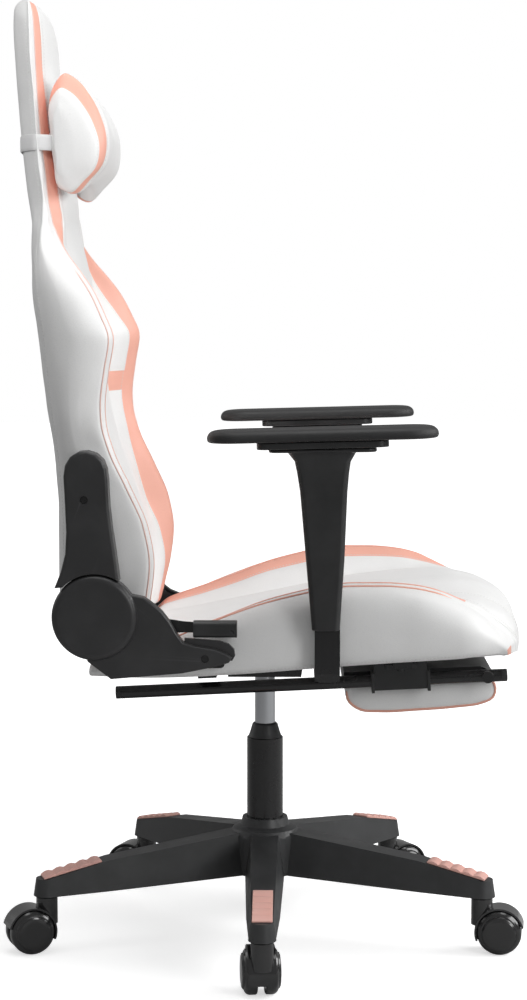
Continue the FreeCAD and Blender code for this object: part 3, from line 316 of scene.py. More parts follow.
class Cover:
    """A sewn cover: rings of points from one end to the other, closed at both ends.
    Columns run along the seams, so that a panel's edge is always an edge of the mesh."""

    def __init__(self, name, rings, columns, end_bulge, materials, long_axis=0):
        self.rows, self.cols = rings.shape[:2]
        self.long_axis = long_axis
        self.columns = columns
        self.points = rings.reshape(-1, 3)
        faces = []
        for r in range(self.rows - 1):
            faces += joined(r * self.cols, (r + 1) * self.cols, self.cols)
        start = self.rows * self.cols
        extra = []
        for ring, bulge, flip in ((rings[0], -end_bulge, True), (rings[-1], end_bulge, False)):
            first = 0 if flip else (self.rows - 1) * self.cols
            loops = self._end_loops(ring, rings[1] if flip else rings[-2], abs(bulge))
            for loop in loops:
                faces += joined(first, start, self.cols, flip)
                first = start
                extra.append(loop)
                start += self.cols
            slit = list(range(first, first + self.cols))
            faces.append(slit if not flip else slit[::-1])
        self.points = np.vstack([self.points, *extra])
        self.obj = solid(name, self.points, faces, materials)
        with editing(self.obj.data) as work:
            bmesh.ops.triangulate(work, faces=[f for f in work.faces if len(f.verts) > 4])
            bmesh.ops.recalc_face_normals(work, faces=work.faces)
        self.obj.data.shade_smooth()

    def _end_loops(self, ring, inner, bulge):
        """Loops that close an end like a filled pillow, shrinking to its middle line."""
        centre = ring.mean(axis=0)
        out = centre - inner.mean(axis=0)
        out = out / np.linalg.norm(out) * bulge
        spine = np.tile(centre, (len(ring), 1))
        k = self.long_axis
        spine[:, k] += (ring[:, k] - centre[k]) * END_SPINE
        return [spine + share * (ring - spine) + out * math.sqrt(1 - share**2)
                for share in END_SHARES]

    def index(self, row, col):
        return row * self.cols + col % self.cols

    def pick(self, rows, cols):
        """The points where the rows and columns cross."""
        return {self.index(r, c) for r in rows for c in cols}

    def ends(self):
        """The points of the loops that close the two ends."""
        return set(range(self.rows * self.cols, len(self.points)))

    def both(self, *names):
        """Columns of the named seams and of their mirrors."""
        return [c for name in names
                for c in (self.columns[name], (self.cols - self.columns[name]) % self.cols)]

    def sewn(self, depths):
        """Sinks the seams, keeps the points that they run through, adds the subdivision, and gives
        the surface for the trims."""
        sink(self.obj, depths)
        self.now = coordinates(self.obj.data)
        subdivided(self.obj)
        return surface(self.obj)

    def paint(self, rule):
        """rule(row, column) gives the material number of the face above and after it."""
        for polygon in self.obj.data.polygons:
            number = polygon.index
            row, col = divmod(number, self.cols)
            polygon.material_index = rule(row, col) if row < self.rows - 1 else 0


def coordinates(mesh):
    flat = np.zeros(len(mesh.vertices) * 3)
    mesh.vertices.foreach_get("co", flat)
    return flat.reshape(-1, 3)


def set_coordinates(mesh, points):
    mesh.vertices.foreach_set("co", np.asarray(points, np.float32).ravel())
    mesh.update()


def evened(move, cover, held, rounds):
    """The cloth's movement with its small buckles evened out and the held points kept still."""
    count = cover.rows * cover.cols
    free = np.ones(len(move), bool)
    free[list(held)] = False
    free = free[:count].reshape(cover.rows, cover.cols, 1)
    grid = move[:count].reshape(cover.rows, cover.cols, 3)
    for _ in range(rounds):
        around = (np.roll(grid, 1, axis=1) + np.roll(grid, -1, axis=1)) / 2
        along = grid.copy()
        along[1:-1] = (grid[:-2] + grid[2:]) / 2
        grid = np.where(free, (2 * grid + around + along) / 4, 0.0)
    return np.vstack([grid.reshape(-1, 3), move[count:]])


def inflate(cover, held, pressure, growth, cap, frames=18):
    """Blows the cover out between its held seams, then keeps each point within cap of its start."""
    obj = cover.obj
    rest = coordinates(obj.data)
    group = obj.vertex_groups.new(name="held")
    group.add([int(i) for i in held], 1.0, "REPLACE")
    cloth = obj.modifiers.new("fill", "CLOTH")
    settings = cloth.settings
    settings.quality = 5
    settings.mass = 0.3
    settings.tension_stiffness = settings.compression_stiffness = 18
    settings.shear_stiffness = 6
    settings.bending_stiffness = 4.0
    settings.use_pressure = True
    settings.uniform_pressure_force = pressure
    settings.effector_weights.gravity = 0
    settings.shrink_min = -growth
    settings.vertex_group_mass = "held"
    cloth.collision_settings.use_collision = False
    cloth.point_cache.frame_end = frames
    for number in range(1, frames + 1):
        scene.frame_set(number)
    graph = bpy.context.evaluated_depsgraph_get()
    blown = coordinates(obj.evaluated_get(graph).data)
    obj.modifiers.remove(cloth)
    obj.vertex_groups.remove(group)
    scene.frame_set(1)
    move = evened(np.nan_to_num(blown - rest), cover, held, 12)
    far = np.linalg.norm(move, axis=1, keepdims=True)
    move *= np.minimum(1.0, cap * np.tanh(far / cap) / np.maximum(far, 1e-9))
    set_coordinates(obj.data, rest + move)


def vertex_normals(mesh):
    flat = np.zeros(len(mesh.vertices) * 3, np.float32)
    mesh.vertex_normals.foreach_get("vector", flat)
    return flat.reshape(-1, 3).astype(float)


def sink(obj, depths):
    """Pulls points in along their normals: depths is {vertex: metres}."""
    points, normals = coordinates(obj.data), vertex_normals(obj.data)
    for vertex, depth in depths.items():
        points[vertex] -= normals[vertex] * depth
    set_coordinates(obj.data, points)


def subdivided(obj, levels=1):
    """Applies a subdivision, so that trims can be laid on the surface that shows."""
    smooth = obj.modifiers.new("smooth", "SUBSURF")
    smooth.levels = smooth.render_levels = levels
    graph = bpy.context.evaluated_depsgraph_get()
    made = bpy.data.meshes.new_from_object(obj.evaluated_get(graph))
    obj.modifiers.clear()
    obj.data = made
    made.shade_smooth()
    return obj


def surface(obj):
    graph = bpy.context.evaluated_depsgraph_get()
    return BVHTree.FromObject(obj, graph)


def resample(points, step):
    points = np.asarray(points, float)
    length = np.concatenate([[0], np.cumsum(np.linalg.norm(np.diff(points, axis=0), axis=1))])
    count = max(2, int(round(length[-1] / step)) + 1)
    at = np.linspace(0, length[-1], count)
    return np.column_stack([np.interp(at, length, points[:, k]) for k in range(3)])


def laid(tree, points, lift):
    """The points put on the surface and lifted off it, with the surface's normals there."""
    on, normals = [], []
    for p in points:
        place, normal, _, _ = tree.find_nearest(Vector(p))
        on.append(np.array(place) + np.array(normal) * lift)
        normals.append(np.array(normal))
    return np.array(on), np.array(normals)


WELT_STEP = 0.006  # metres between the points of a piping


def welt(name, tree, lines, radius, material, lift=0.25, fade=0.0):
    """Piping along lines on a surface. Its ends sink in where fade, in metres, isn't zero."""
    curve = bpy.data.curves.new(name, "CURVE")
    curve.dimensions = "3D"
    curve.bevel_depth = radius
    curve.bevel_resolution = 2
    curve.use_fill_caps = True
    for line in lines:
        path = resample(line, WELT_STEP)
        on, normals = laid(tree, path, radius * lift)
        if fade:
            along = np.arange(len(on)) * WELT_STEP
            end = np.minimum(along, along[::-1])
            on -= normals * (radius * 1.6 * (1 - np.clip(end / fade, 0, 1)))[:, None]
        spline = curve.splines.new("POLY")
        spline.points.add(len(on) - 1)
        for point, place in zip(spline.points, on):
            point.co = (*place, 1.0)
    curve.materials.append(material)
    return placed(name, curve)


def stitches(name, tree, lines, material, side=0.0, pitch=0.0046, length=0.0032,
             radius=0.00042):
    """Rows of small thread stitches laid on a surface, side metres to the left of each line."""
    ring = [(math.cos(a), math.sin(a)) for a in np.arange(5) * math.tau / 5]
    profile = [(-0.5, 0.25), (-0.3, 1.0), (0.3, 1.0), (0.5, 0.25)]
    one = tube(len(profile), len(ring))
    points, faces = [], []
    for line in lines:
        path = resample(line, pitch)
        on, normals = laid(tree, path, 0.0)
        run = np.gradient(on, axis=0)
        run /= np.linalg.norm(run, axis=1, keepdims=True) + 1e-12
        across = np.cross(normals, run)
        if side:
            on, normals = laid(tree, on + across * side, 0.0)
        for place, way, up in zip(on[1:-1], run[1:-1], normals[1:-1]):
            wide = np.cross(up, way)
            wide /= np.linalg.norm(wide) + 1e-12
            base = len(points)
            for offset, share in profile:
                for c, s in ring:
                    points.append(place + way * offset * length
                                  + wide * c * radius * share
                                  + up * (s * radius * share + radius * (share - 0.75)))
            faces += [[base + v for v in face] for face in one]
    return solid(name, points, faces, [material])


def column_lines(cover, col, first=0, last=None):
    """A seam's points down one column of the cover, and its mirror on the other side."""
    rows = range(first, cover.rows if last is None else last)
    lines = []
    for c in {col, (cover.cols - col) % cover.cols}:
        lines.append(np.array([cover.now[cover.index(r, c)] for r in rows]))
    return lines


def row_lines(cover, rows):
    """Seams that run round the cover, each closed on itself."""
    lines = []
    for r in rows:
        ring = [cover.now[cover.index(r, c)] for c in range(cover.cols)]
        lines.append(np.array(ring + ring[:1]))
    return lines


# ------ backrest cover

BACK = {  # what: rows of (height, value)
    "rear": [(438, -246), (470, -256), (545, -257), (620, -258), (690, -264), (745, -271),
             (820, -279), (880, -287), (925, -292), (955, -296), (1005, -303), (1090, -312),
             (1180, -319), (1235, -323), (1262, -324), (1271, -321)],
    "half": [(438, 228), (470, 248), (500, 253), (545, 256), (620, 257), (690, 258),
             (745, 264), (800, 267), (830, 267), (860, 264), (890, 257), (915, 243),
             (940, 220), (965, 190), (985, 166), (1005, 153), (1050, 148), (1180, 146),
             (1220, 143), (1245, 137), (1258, 128), (1266, 117), (1271, 102)],
    "strip_x": [(438, 218), (470, 230), (500, 234), (545, 237), (620, 239), (690, 240),
                (830, 241), (860, 234), (890, 222), (915, 206), (940, 183), (965, 157),
                (985, 142), (1005, 134), (1050, 131), (1180, 130), (1220, 127), (1245, 121),
                (1258, 112), (1266, 101), (1271, 86)],
    "strip_u": [(438, -158), (470, -150), (500, -143), (545, -138), (590, -145), (640, -166),
                (690, -189), (725, -198), (745, -199), (790, -194), (830, -188), (860, -199),
                (890, -214), (915, -232), (940, -252), (965, -267), (985, -275), (1005, -280),
                (1050, -285), (1090, -290), (1140, -294), (1180, -296), (1220, -298),
                (1245, -300), (1262, -304), (1271, -309)],
    "inner_x": [(438, 192), (470, 203), (500, 209), (545, 213), (590, 214), (640, 212),
                (690, 210), (830, 210), (860, 203), (890, 191), (915, 177), (940, 156),
                (965, 134), (985, 121), (1005, 114), (1050, 111), (1180, 108), (1220, 105),
                (1245, 98), (1258, 89), (1266, 78), (1271, 63)],
    "inner_u": [(438, -160), (470, -153), (500, -149), (545, -157), (590, -177), (640, -191),
                (690, -203), (745, -212), (790, -206), (830, -200), (860, -217), (890, -238),
                (915, -252), (940, -259), (965, -261), (985, -263), (1005, -267),
                (1050, -273), (1090, -279), (1140, -285), (1180, -289), (1220, -291),
                (1245, -294), (1262, -299), (1271, -306)],
    "seam_x": [(438, 128), (545, 144), (690, 147), (830, 150), (890, 138), (940, 116),
               (985, 102), (1050, 98), (1180, 94), (1220, 91), (1245, 84), (1262, 71),
               (1271, 45)],
    "seam_u": [(438, -176), (470, -172), (545, -173), (620, -192), (690, -217), (745, -229),
               (820, -238), (880, -248), (925, -255), (955, -260), (1005, -265),
               (1050, -271), (1090, -278), (1140, -284), (1180, -288), (1220, -290),
               (1245, -293), (1262, -298), (1271, -305)],
    "edge_x": [(438, 214), (470, 232), (690, 240), (830, 248), (890, 240), (915, 230),
               (940, 210), (965, 184), (985, 162), (1005, 151), (1050, 147), (1180, 145),
               (1220, 142), (1245, 136), (1258, 126), (1266, 115), (1271, 100)],
    "edge_u": [(438, -242), (470, -252), (545, -253), (620, -254), (690, -260), (745, -267),
               (820, -274), (880, -282), (925, -287), (955, -288), (1005, -288),
               (1060, -294), (1138, -299), (1200, -304), (1245, -306), (1262, -308),
               (1271, -312)],
}
BAND = (750, 778)  # heights of the pink band across each wing
NECK = 979         # height of the crease between wings and head part
WING_TOP = 925     # height where the wing's piping ends
BACK_ROWS = [438, *BAND, NECK, 1271]
BACK_COUNTS = [8, 7, 4, 4, 8, 8, 3, 6, 13, 7, 7]
HEAD_BLEND = (900, 90)  # height where the wings' section starts to become the head's, and over how much
LOW_BLEND = (438, 60)   # the same for the narrower bottom
SEAM_SINK = 0.0011      # metres that a seam lies below its panels
BAND_SINK = 0.0014
NECK_SINK = 0.0018
PILLOW_SINK = 0.0013
FOOT_SINK = 0.0008


def spaced(marks, step):
    """Heights from mark to mark, about a step apart, with a row on every mark."""
    rows = [marks[0]]
    for low, high in zip(marks, marks[1:]):
        count = max(1, round((high - low) / step))
        rows += [low + (high - low) * k / count for k in range(1, count + 1)]
    return np.array(rows, float)


def row_at(stations, mark):
    """Number of the row on a mark."""
    return int(np.argmin(np.abs(stations - mark)))


def mirrored_ring(half):
    """Keys of the whole ring from the keys of its +X half, whose ends are on the mid-plane."""
    other = half[:, -2:0:-1].copy()
    other[:, :, 0] *= -1
    return np.concatenate([half, other], axis=1)


def key_columns(names, counts):
    """Column of each key of the +X half."""
    return dict(zip(names, np.concatenate([[0], np.cumsum(counts)])))


def back_cover():
    z = spaced(BACK_ROWS, 6.2)
    at = {key: glide(*zip(*rows), z)[:, 0] for key, rows in BACK.items()}
    head = np.clip((z - HEAD_BLEND[0]) / HEAD_BLEND[1], 0, 1)
    low_zone = np.clip((z - LOW_BLEND[0]) / LOW_BLEND[1], 0, 1)
    depth = at["strip_u"] - at["rear"]
    half = at["half"]
    crown = 7 - 4 * head
    welt_out = 11 - 4 * head
    welt_back = 5.5 - 4 * head
    keys = np.zeros((len(z), 12, 3))
    table = [
        (0 * z, at["rear"] - 4),
        (half * 0.52, at["rear"] - 4),
        (half * 0.86, at["rear"] - 1 + 2 * head),
        (at["edge_x"], at["edge_u"]),
        (half, at["edge_u"] + 0.34 * (depth - 5) * (1 - head) + 2 * head),
        (half - 1.5 - 1.5 * head, at["strip_u"] - 30 * (1 - head) - 3.2 * head),
        (at["strip_x"] + welt_out, at["strip_u"] - welt_back),
        (at["strip_x"], at["strip_u"]),
        (at["inner_x"], at["inner_u"]),
        (at["seam_x"], at["seam_u"]),
        (at["seam_x"] * 0.5, at["seam_u"] + crown * 0.8),
        (0 * z, at["seam_u"] + crown),
    ]
    for k, (x, u) in enumerate(table):
        keys[:, k] = np.column_stack([x, -u, z])
    keys[:, 4, 0] -= (1 - low_zone) * 3
    rings = round_rings(mirrored_ring(keys) * MM, BACK_COUNTS + BACK_COUNTS[::-1], ())
    columns = key_columns(["rear_mid", "rear_quarter", "rear_corner", "edge", "side",
                           "side_front", "welt", "strip", "inner", "seam", "front_side",
                           "front_mid"], BACK_COUNTS)
    cover = Cover("backrest_cover", rings, columns, 0.004, [WHITE, PINK])
    cover.z = z
    return cover


def back():
    cover = back_cover()
    cols, n = cover.columns, cover.cols
    band_low, band_high = (row_at(cover.z, mark) for mark in BAND)
    neck = row_at(cover.z, NECK)

    def panel(row, col):
        c = min(col, n - 1 - col)
        if cols["strip"] <= c < cols["inner"]:
            return 1
        if cols["inner"] <= c < cols["seam"] and band_low <= row < band_high:
            return 1
        return 0

    cover.paint(panel)
    seam_cols = cover.both("edge", "welt", "strip", "inner", "seam")
    band_cols = list(range(cols["inner"], cols["seam"] + 1))
    band_cols += [n - c for c in band_cols]
    neck_cols = list(range(cols["edge"], cols["inner"] + 1))
    neck_cols += [n - c for c in neck_cols]
    held = cover.pick(range(cover.rows), seam_cols)
    held |= cover.pick((band_low, band_high), band_cols)
    held |= cover.pick((0, 1, neck, cover.rows - 1), range(n))
    held |= cover.ends()
    inflate(cover, held, pressure=2.5, growth=0.005, cap=0.005)
    depths = dict.fromkeys(cover.pick(range(2, cover.rows - 2), seam_cols), SEAM_SINK)
    depths |= dict.fromkeys(cover.pick((band_low, band_high), band_cols), BAND_SINK)
    depths |= dict.fromkeys(cover.pick((neck,), neck_cols), NECK_SINK)
    tree = cover.sewn(depths)
    wing_top = int(np.searchsorted(cover.z, WING_TOP))
    trims = [
        welt("backrest_piping", tree, column_lines(cover, cols["welt"], 3, wing_top),
             0.001, PIPING, fade=0.02),
        welt("backrest_strip_piping", tree, column_lines(cover, cols["strip"], 3,
                                                         cover.rows - 2), 0.0009, PIPING),
        stitches("backrest_stitches", tree,
                 column_lines(cover, cols["seam"], 4, cover.rows - 4)
                 + column_lines(cover, cols["edge"], 4, cover.rows - 4), THREAD, side=0.0035),
        stitches("backrest_strip_stitches", tree,
                 column_lines(cover, cols["inner"], 4, cover.rows - 4), THREAD, side=0.003),
    ]
    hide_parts("back_cushion")
    finish_soft(cover.obj, trims, "backrest")
    return cover


def finish_soft(obj, trims, body):
    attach(obj, body)
    for trim in trims:
        trim.parent = obj


# ------ seat cover

SEAT = {  # (station, x, forward, height) of each seam and guide line. Stations past 250 go round
    # the nose. A row of three leaves out a forward that equals its station.
    "side_low": [(-224, 222, 398), (-150, 244, 399), (-40, 255, 405), (114, 256, 417),
        (190, 255, 422), (250, 250, 425), (280, 244, 268, 426), (320, 229, 288, 425),
        (360, 213, 302, 424), (400, 200, 311, 422), (450, 194, 313, 420)],
    "side": [(-224, 226, 402), (-150, 251, 424), (-100, 258, 431), (-40, 262, 438), (40, 263, 448),
        (114, 263, 456), (190, 262, 460), (250, 257, 461), (280, 251, 270, 457),
        (320, 237, 291, 446), (360, 221, 306, 436), (400, 207, 315, 428), (450, 197, 316, 421)],
    "side_high": [(-224, 222, 405), (-150, 246, 432), (-100, 251, 446), (-40, 254, 465),
        (40, 255, 487), (114, 255, 499), (190, 252, 499), (250, 245, 483), (280, 238, 271, 475),
        (320, 223, 294, 459), (360, 208, 311, 444), (400, 195, 321, 432), (450, 186, 322, 421)],
    "welt": [(-224, 212, 407), (-150, 232, -148, 438), (-117, 235, 448), (-89, 236, 460),
        (-42, 236, 479), (-5, 236, 492), (40, 236, 504), (79, 236, 512), (114, 235, 516),
        (153, 234, 516), (190, 231, 513), (226, 226, 505), (250, 220, 495), (280, 212, 273, 482),
        (320, 197, 298, 464), (360, 184, 317, 448), (400, 175, 328, 433), (450, 170, 329, 421)],
    "strip": [(-224, 203, 408), (-150, 221, -147, 441), (-129, 223, 448), (-99, 224, 458),
        (-54, 225, 474), (2, 225, 496), (38, 225, 506), (79, 225, 515), (114, 224, 519),
        (153, 223, 519), (192, 220, 516), (226, 215, 508), (254, 208, 253, 496),
        (280, 200, 276, 484), (300, 194, 290, 475), (320, 187, 302, 466), (360, 175, 321, 450),
        (400, 167, 332, 434), (450, 163, 333, 421)],
    "inner": [(-224, 178, 408), (-150, 195, -147, 437), (-99, 198, 450), (-54, 199, 464),
        (2, 199, 484), (38, 199, 493), (79, 199, 502), (114, 198, 506), (153, 197, 507),
        (192, 194, 506), (226, 190, 501), (254, 185, 255, 494), (280, 185, 279, 486),
        (300, 188, 291, 477), (320, 184, 303, 467.5), (360, 172, 322, 451), (385, 165, 330, 441),
        (405, 158, 334, 432), (450, 153, 334.5, 421)],
    "seam": [(-224, 130, 406), (-150, 146, -148, 430), (-100, 150, 438), (-40, 152, 450),
        (40, 152, 466), (114, 151, 481), (190, 147, 491), (250, 140, 252, 495),
        (280, 133, 283, 491), (320, 123, 313, 477), (360, 115, 332, 457), (400, 110, 340, 437),
        (450, 108, 339, 421)],
    "middle": [(-224, 0, 408), (-150, 0, -148, 436), (-100, 0, 444), (-40, 0, 456), (40, 0, 473),
        (114, 0, 488), (190, 0, 497), (250, 0, 251, 501), (280, 0, 283, 500), (300, 0, 301, 496),
        (320, 0, 316, 488), (340, 0, 328, 477), (360, 0, 336.5, 464), (380, 0, 341.5, 451),
        (400, 0, 344, 439), (430, 0, 343, 427), (450, 0, 341, 420)],
    "floor_edge": [(-224, 214, 396), (-150, 236, 397), (-40, 247, 403), (114, 248, 415),
        (190, 247, 420), (250, 242, 423), (280, 236, 264, 424), (320, 220, 282, 423),
        (360, 206, 297, 421.5), (400, 196, 307, 420), (450, 191, 311, 419)],
    "floor": [(-224, 0, 396), (-150, 0, 398), (-40, 0, 404), (114, 0, 416), (190, 0, 421),
        (250, 0, 255, 424), (280, 0, 288, 424), (320, 0, 311, 423), (360, 0, 325, 421),
        (400, 0, 334, 419), (450, 0, 340, 418)],
}
SEAT_COUNTS = [14, 3, 6, 5, 6, 3, 6, 9, 9, 8]
SEAT_CORNERS = (1, 19)  # keys at the edges of the flat underside
HINGE = (-210.0, 483.0)
SEAT_SWEEP = 74.5
STRIP_GAP = (256, 388)  # stations where the pink strip ends, and where its tip shows under the nose
PIPING_END = 250        # station where the seat's piping runs out


def seat_cover():
    stations = spaced([-224, 262, 450], 6.4)
    line = {}
    for key, rows in SEAT.items():
        places = [(r[1], r[-2] if len(r) == 4 else r[0], r[-1]) for r in rows]
        line[key] = glide([r[0] for r in rows], places, stations)
    order = ["floor", "floor_edge", "side_low", "side", "side_high", "welt", "strip",
             "inner", "seam", None, "middle"]
    keys = np.zeros((len(stations), len(order), 3))
    for k, key in enumerate(order):
        if key:
            keys[:, k] = line[key]
    keys[:, 9] = (line["seam"] + line["middle"]) / 2
    keys[:, 9, 2] += 3.0
    keys[:, 9, 0] = line["seam"][:, 0] * 0.5
    across = np.hypot(keys[:, :, 1] - HINGE[0], keys[:, :, 2] - HINGE[1])
    short = np.clip(SEAT_SWEEP / np.maximum(across, 1e-6), 1.0, None)
    keys[:, :, 1] = HINGE[0] + (keys[:, :, 1] - HINGE[0]) * short
    keys[:, :, 2] = HINGE[1] + (keys[:, :, 2] - HINGE[1]) * short
    keys[:, :, 1] *= -1
    rings = round_rings(mirrored_ring(keys) * MM, SEAT_COUNTS + SEAT_COUNTS[::-1],
                        SEAT_CORNERS)
    columns = key_columns(["floor", "floor_edge", "side_low", "side", "side_high", "welt",
                           "strip", "inner", "seam", "top_side", "middle"], SEAT_COUNTS)
    cover = Cover("seat_cover", rings, columns, 0.0015, [WHITE, PINK])
    cover.stations = stations
    return cover


def seat():
    cover = seat_cover()
    cols, n = cover.columns, cover.cols

    def panel(row, col):
        c = min(col, n - 1 - col)
        station = cover.stations[row]
        if station >= STRIP_GAP[1]:
            return 1 if cols["side"] <= c < cols["side_high"] else 0
        return 1 if station < STRIP_GAP[0] and cols["strip"] <= c < cols["inner"] else 0

    cover.paint(panel)
    seam_cols = cover.both("floor_edge", "side_low", "welt", "strip", "inner", "seam")
    floor_cols = list(range(cols["floor_edge"] + 1))
    floor_cols += [n - c for c in floor_cols[1:]]
    held = cover.pick(range(cover.rows), seam_cols + floor_cols)
    held |= cover.pick((0, 1, 2, cover.rows - 1), range(n))
    held |= cover.ends()
    inflate(cover, held, pressure=2.5, growth=0.005, cap=0.005)
    depths = dict.fromkeys(cover.pick(range(2, cover.rows - 2), seam_cols), SEAM_SINK)
    tree = cover.sewn(depths)
    front = int(np.searchsorted(cover.stations, PIPING_END))
    trims = [
        welt("seat_piping", tree, column_lines(cover, cols["welt"], 6, front), 0.0013, PINK,
             fade=0.03),
        welt("seat_strip_piping", tree, column_lines(cover, cols["strip"], 6, front),
             0.0011, PINK, fade=0.03),
        stitches("seat_stitches", tree,
                 column_lines(cover, cols["seam"], 6, cover.rows - 4)
                 + column_lines(cover, cols["side_low"], 6, cover.rows - 6),
                 THREAD, side=0.0035),
        stitches("seat_strip_stitches", tree,
                 column_lines(cover, cols["inner"], 6, cover.rows - 4), THREAD, side=0.003),
    ]
    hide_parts("seat_cushion")
    finish_soft(cover.obj, trims, "seat")
    return cover


# ------ head pillow and its strap

PILLOW_OUTLINE = [  # forward and height as shares of the section's depth and height
    (0.24, 1.0), (0.46, 0.95), (0.7, 0.82), (0.9, 0.64), (1.0, 0.45), (0.93, 0.25),
    (0.68, 0.11), (0.42, 0.0), (0.2, 0.05), (0.1, 0.27), (0.03, 0.58), (0.05, 0.9)]
PILLOW = [  # x, rear, front, bottom, top
    (0, -270, -207, 1036, 1160), (50, -271, -205, 1032, 1163), (90, -276, -203, 1022, 1172),
    (104, -279, -206, 1018, 1177), (124, -281, -214, 1018, 1155), (131, -280, -221, 1021, 1150),
    (135, -277, -231, 1027, 1143), (137, -274, -240, 1036, 1134)]
PILLOW_BAND = (104, 124)  # x of the pink band's two seams


def pillow():
    half = spaced([0, *PILLOW_BAND, PILLOW[-1][0]], 4.6)
    x = np.concatenate([-half[:0:-1], half])
    size = glide([r[0] for r in PILLOW], [r[1:] for r in PILLOW], np.abs(x))
    rear, front, bottom, top = size.T
    keys = np.zeros((len(x), len(PILLOW_OUTLINE), 3))
    for k, (deep, high) in enumerate(PILLOW_OUTLINE):
        keys[:, k] = np.column_stack([x, -(rear + (front - rear) * deep),
                                      bottom + (top - bottom) * high])
    rings = round_rings(keys * MM, [6] * len(PILLOW_OUTLINE), ())
    cover = Cover("head_pillow_cover", rings, {}, 0.006, [WHITE, PINK], long_axis=2)
    inside, outside = PILLOW_BAND
    seam_rows = [row_at(x, mark) for mark in (-outside, -inside, inside, outside)]

    def panel(row, _):
        return 1 if inside <= abs((x[row] + x[row + 1]) / 2) < outside else 0

    cover.paint(panel)
    seams = cover.pick(seam_rows, range(cover.cols))
    inflate(cover, seams | cover.ends(), pressure=2.5, growth=0.007, cap=0.005)
    tree = cover.sewn(dict.fromkeys(seams, PILLOW_SINK))
    lines = row_lines(cover, seam_rows)
    trims = [stitches("head_pillow_stitches", tree, lines[1::2], THREAD, side=0.003),
             stitches("head_pillow_stitches_2", tree, lines[2::-2], THREAD, side=-0.003)]
    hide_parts("head_pillow")
    finish_soft(cover.obj, trims, "backrest")
    return cover


STRAP_HEIGHT = 1.083
STRAP_SECTION = [  # distance off the leather and height, from the middle of the band
    (0.2, -10), (0.9, -10.3), (1.6, -9.6), (1.8, -5), (1.8, 5), (1.6, 9.6), (0.9, 10.3),
    (0.2, 10), (0.1, 5), (0.1, -5)]


def strap(head):
    """Elastic band drawn round the head part, with its ends under the pillow."""
    tree = surface(head.obj)
    centre = Vector((0, 0.296, STRAP_HEIGHT))
    outline = []
    for angle in np.radians(np.arange(-12, 192.1, 3)):
        way = Vector((math.cos(angle) * 1.6, math.sin(angle), 0)).normalized()
        reach = 0.0
        for height in (-0.009, 0.0, 0.009):
            hit = tree.ray_cast(centre + way * 0.4 + Vector((0, 0, height)), -way)[0]
            reach = max(reach, (Vector((hit.x, hit.y, 0)) - Vector((0, centre.y, 0))).length)
        outline.append((way.x * reach, centre.y + way.y * reach))
    under_pillow = [(0.128, 0.2755), (0.137, 0.279)]
    path = np.array(under_pillow + outline[3:-3] + [(-x, y) for x, y in under_pillow[::-1]])
    path = resample(np.column_stack([path, np.zeros(len(path))]), 0.004)[:, :2]
    run = np.gradient(path, axis=0)
    run /= np.linalg.norm(run, axis=1, keepdims=True)
    out = np.column_stack([run[:, 1], -run[:, 0]])
    points = [(x + nx * away * MM, y + ny * away * MM, STRAP_HEIGHT + high * MM)
              for (x, y), (nx, ny) in zip(path, out) for away, high in STRAP_SECTION]
    obj = solid("head_strap", points, tube(len(path), len(STRAP_SECTION)), [ELASTIC])
    with editing(obj.data) as work:
        bmesh.ops.recalc_face_normals(work, faces=work.faces)
    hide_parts("pillow_strap")
    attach(obj, "backrest")


# ------ footrest cushion

UNDER_PITCH = math.radians(2.73)
RAIL_HEIGHT = 375.5
FOOT_OUTLINE = [  # forward and height in the pitched frame of the rails
    (106, -9), (206, -8.4), (304, -9), (307, -22), (303, -33), (288, -39.5), (255, -43),
    (200, -45), (150, -45), (122, -41), (108, -28)]


def under_seat(x, forward, up):
    c, s = math.cos(UNDER_PITCH), math.sin(UNDER_PITCH)
    return [x, -(forward * c - up * s), RAIL_HEIGHT + forward * s + up * c]


FOOT_COUNTS = [14, 14, 3, 3, 4, 6, 9, 8, 5, 4, 4]
FOOT_FLAT = sum(FOOT_COUNTS[:2])  # columns on the tray
FOOT_MIDDLE = 206
FOOT_HALF = 148


def foot_cushion():
    half = spaced([0, 100, 141, FOOT_HALF], 5.5)
    x = np.concatenate([-half[:0:-1], half])
    keys = np.zeros((len(x), len(FOOT_OUTLINE), 3))
    for i, at in enumerate(x):
        pinch = 1 - 0.012 * (abs(at) / FOOT_HALF) ** 8
        crown = 2.2 * (1 - (abs(at) / FOOT_HALF) ** 4)
        for k, (forward, up) in enumerate(FOOT_OUTLINE):
            low = crown if up < -20 else 0.0
            keys[i, k] = under_seat(at, FOOT_MIDDLE + (forward - FOOT_MIDDLE) * pinch,
                                    up * pinch - low)
    rings = round_rings(keys * MM, FOOT_COUNTS, (0, 2))
    cover = Cover("footrest_cover", rings, {}, 0.004, [WHITE, PINK], long_axis=1)
    flat = cover.pick(range(cover.rows), range(FOOT_FLAT + 1))
    rims = cover.pick((0, cover.rows - 1), range(cover.cols))
    inflate(cover, flat | rims | cover.ends(), pressure=2.0, growth=0.005, cap=0.004)
    tree = cover.sewn(dict.fromkeys(rims, FOOT_SINK))
    open_rims = [rim[FOOT_FLAT - 1:-1] for rim in row_lines(cover, [0, cover.rows - 1])]
    trims = [welt("footrest_piping", tree, open_rims, 0.0019, PINK, lift=0.35, fade=0.01),
             stitches("footrest_stitches", tree, row_lines(cover, [2, cover.rows - 3]), THREAD)]
    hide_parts("footrest_cushion")
    finish_soft(cover.obj, trims, "footrest_pad")


# ------ armrest pads

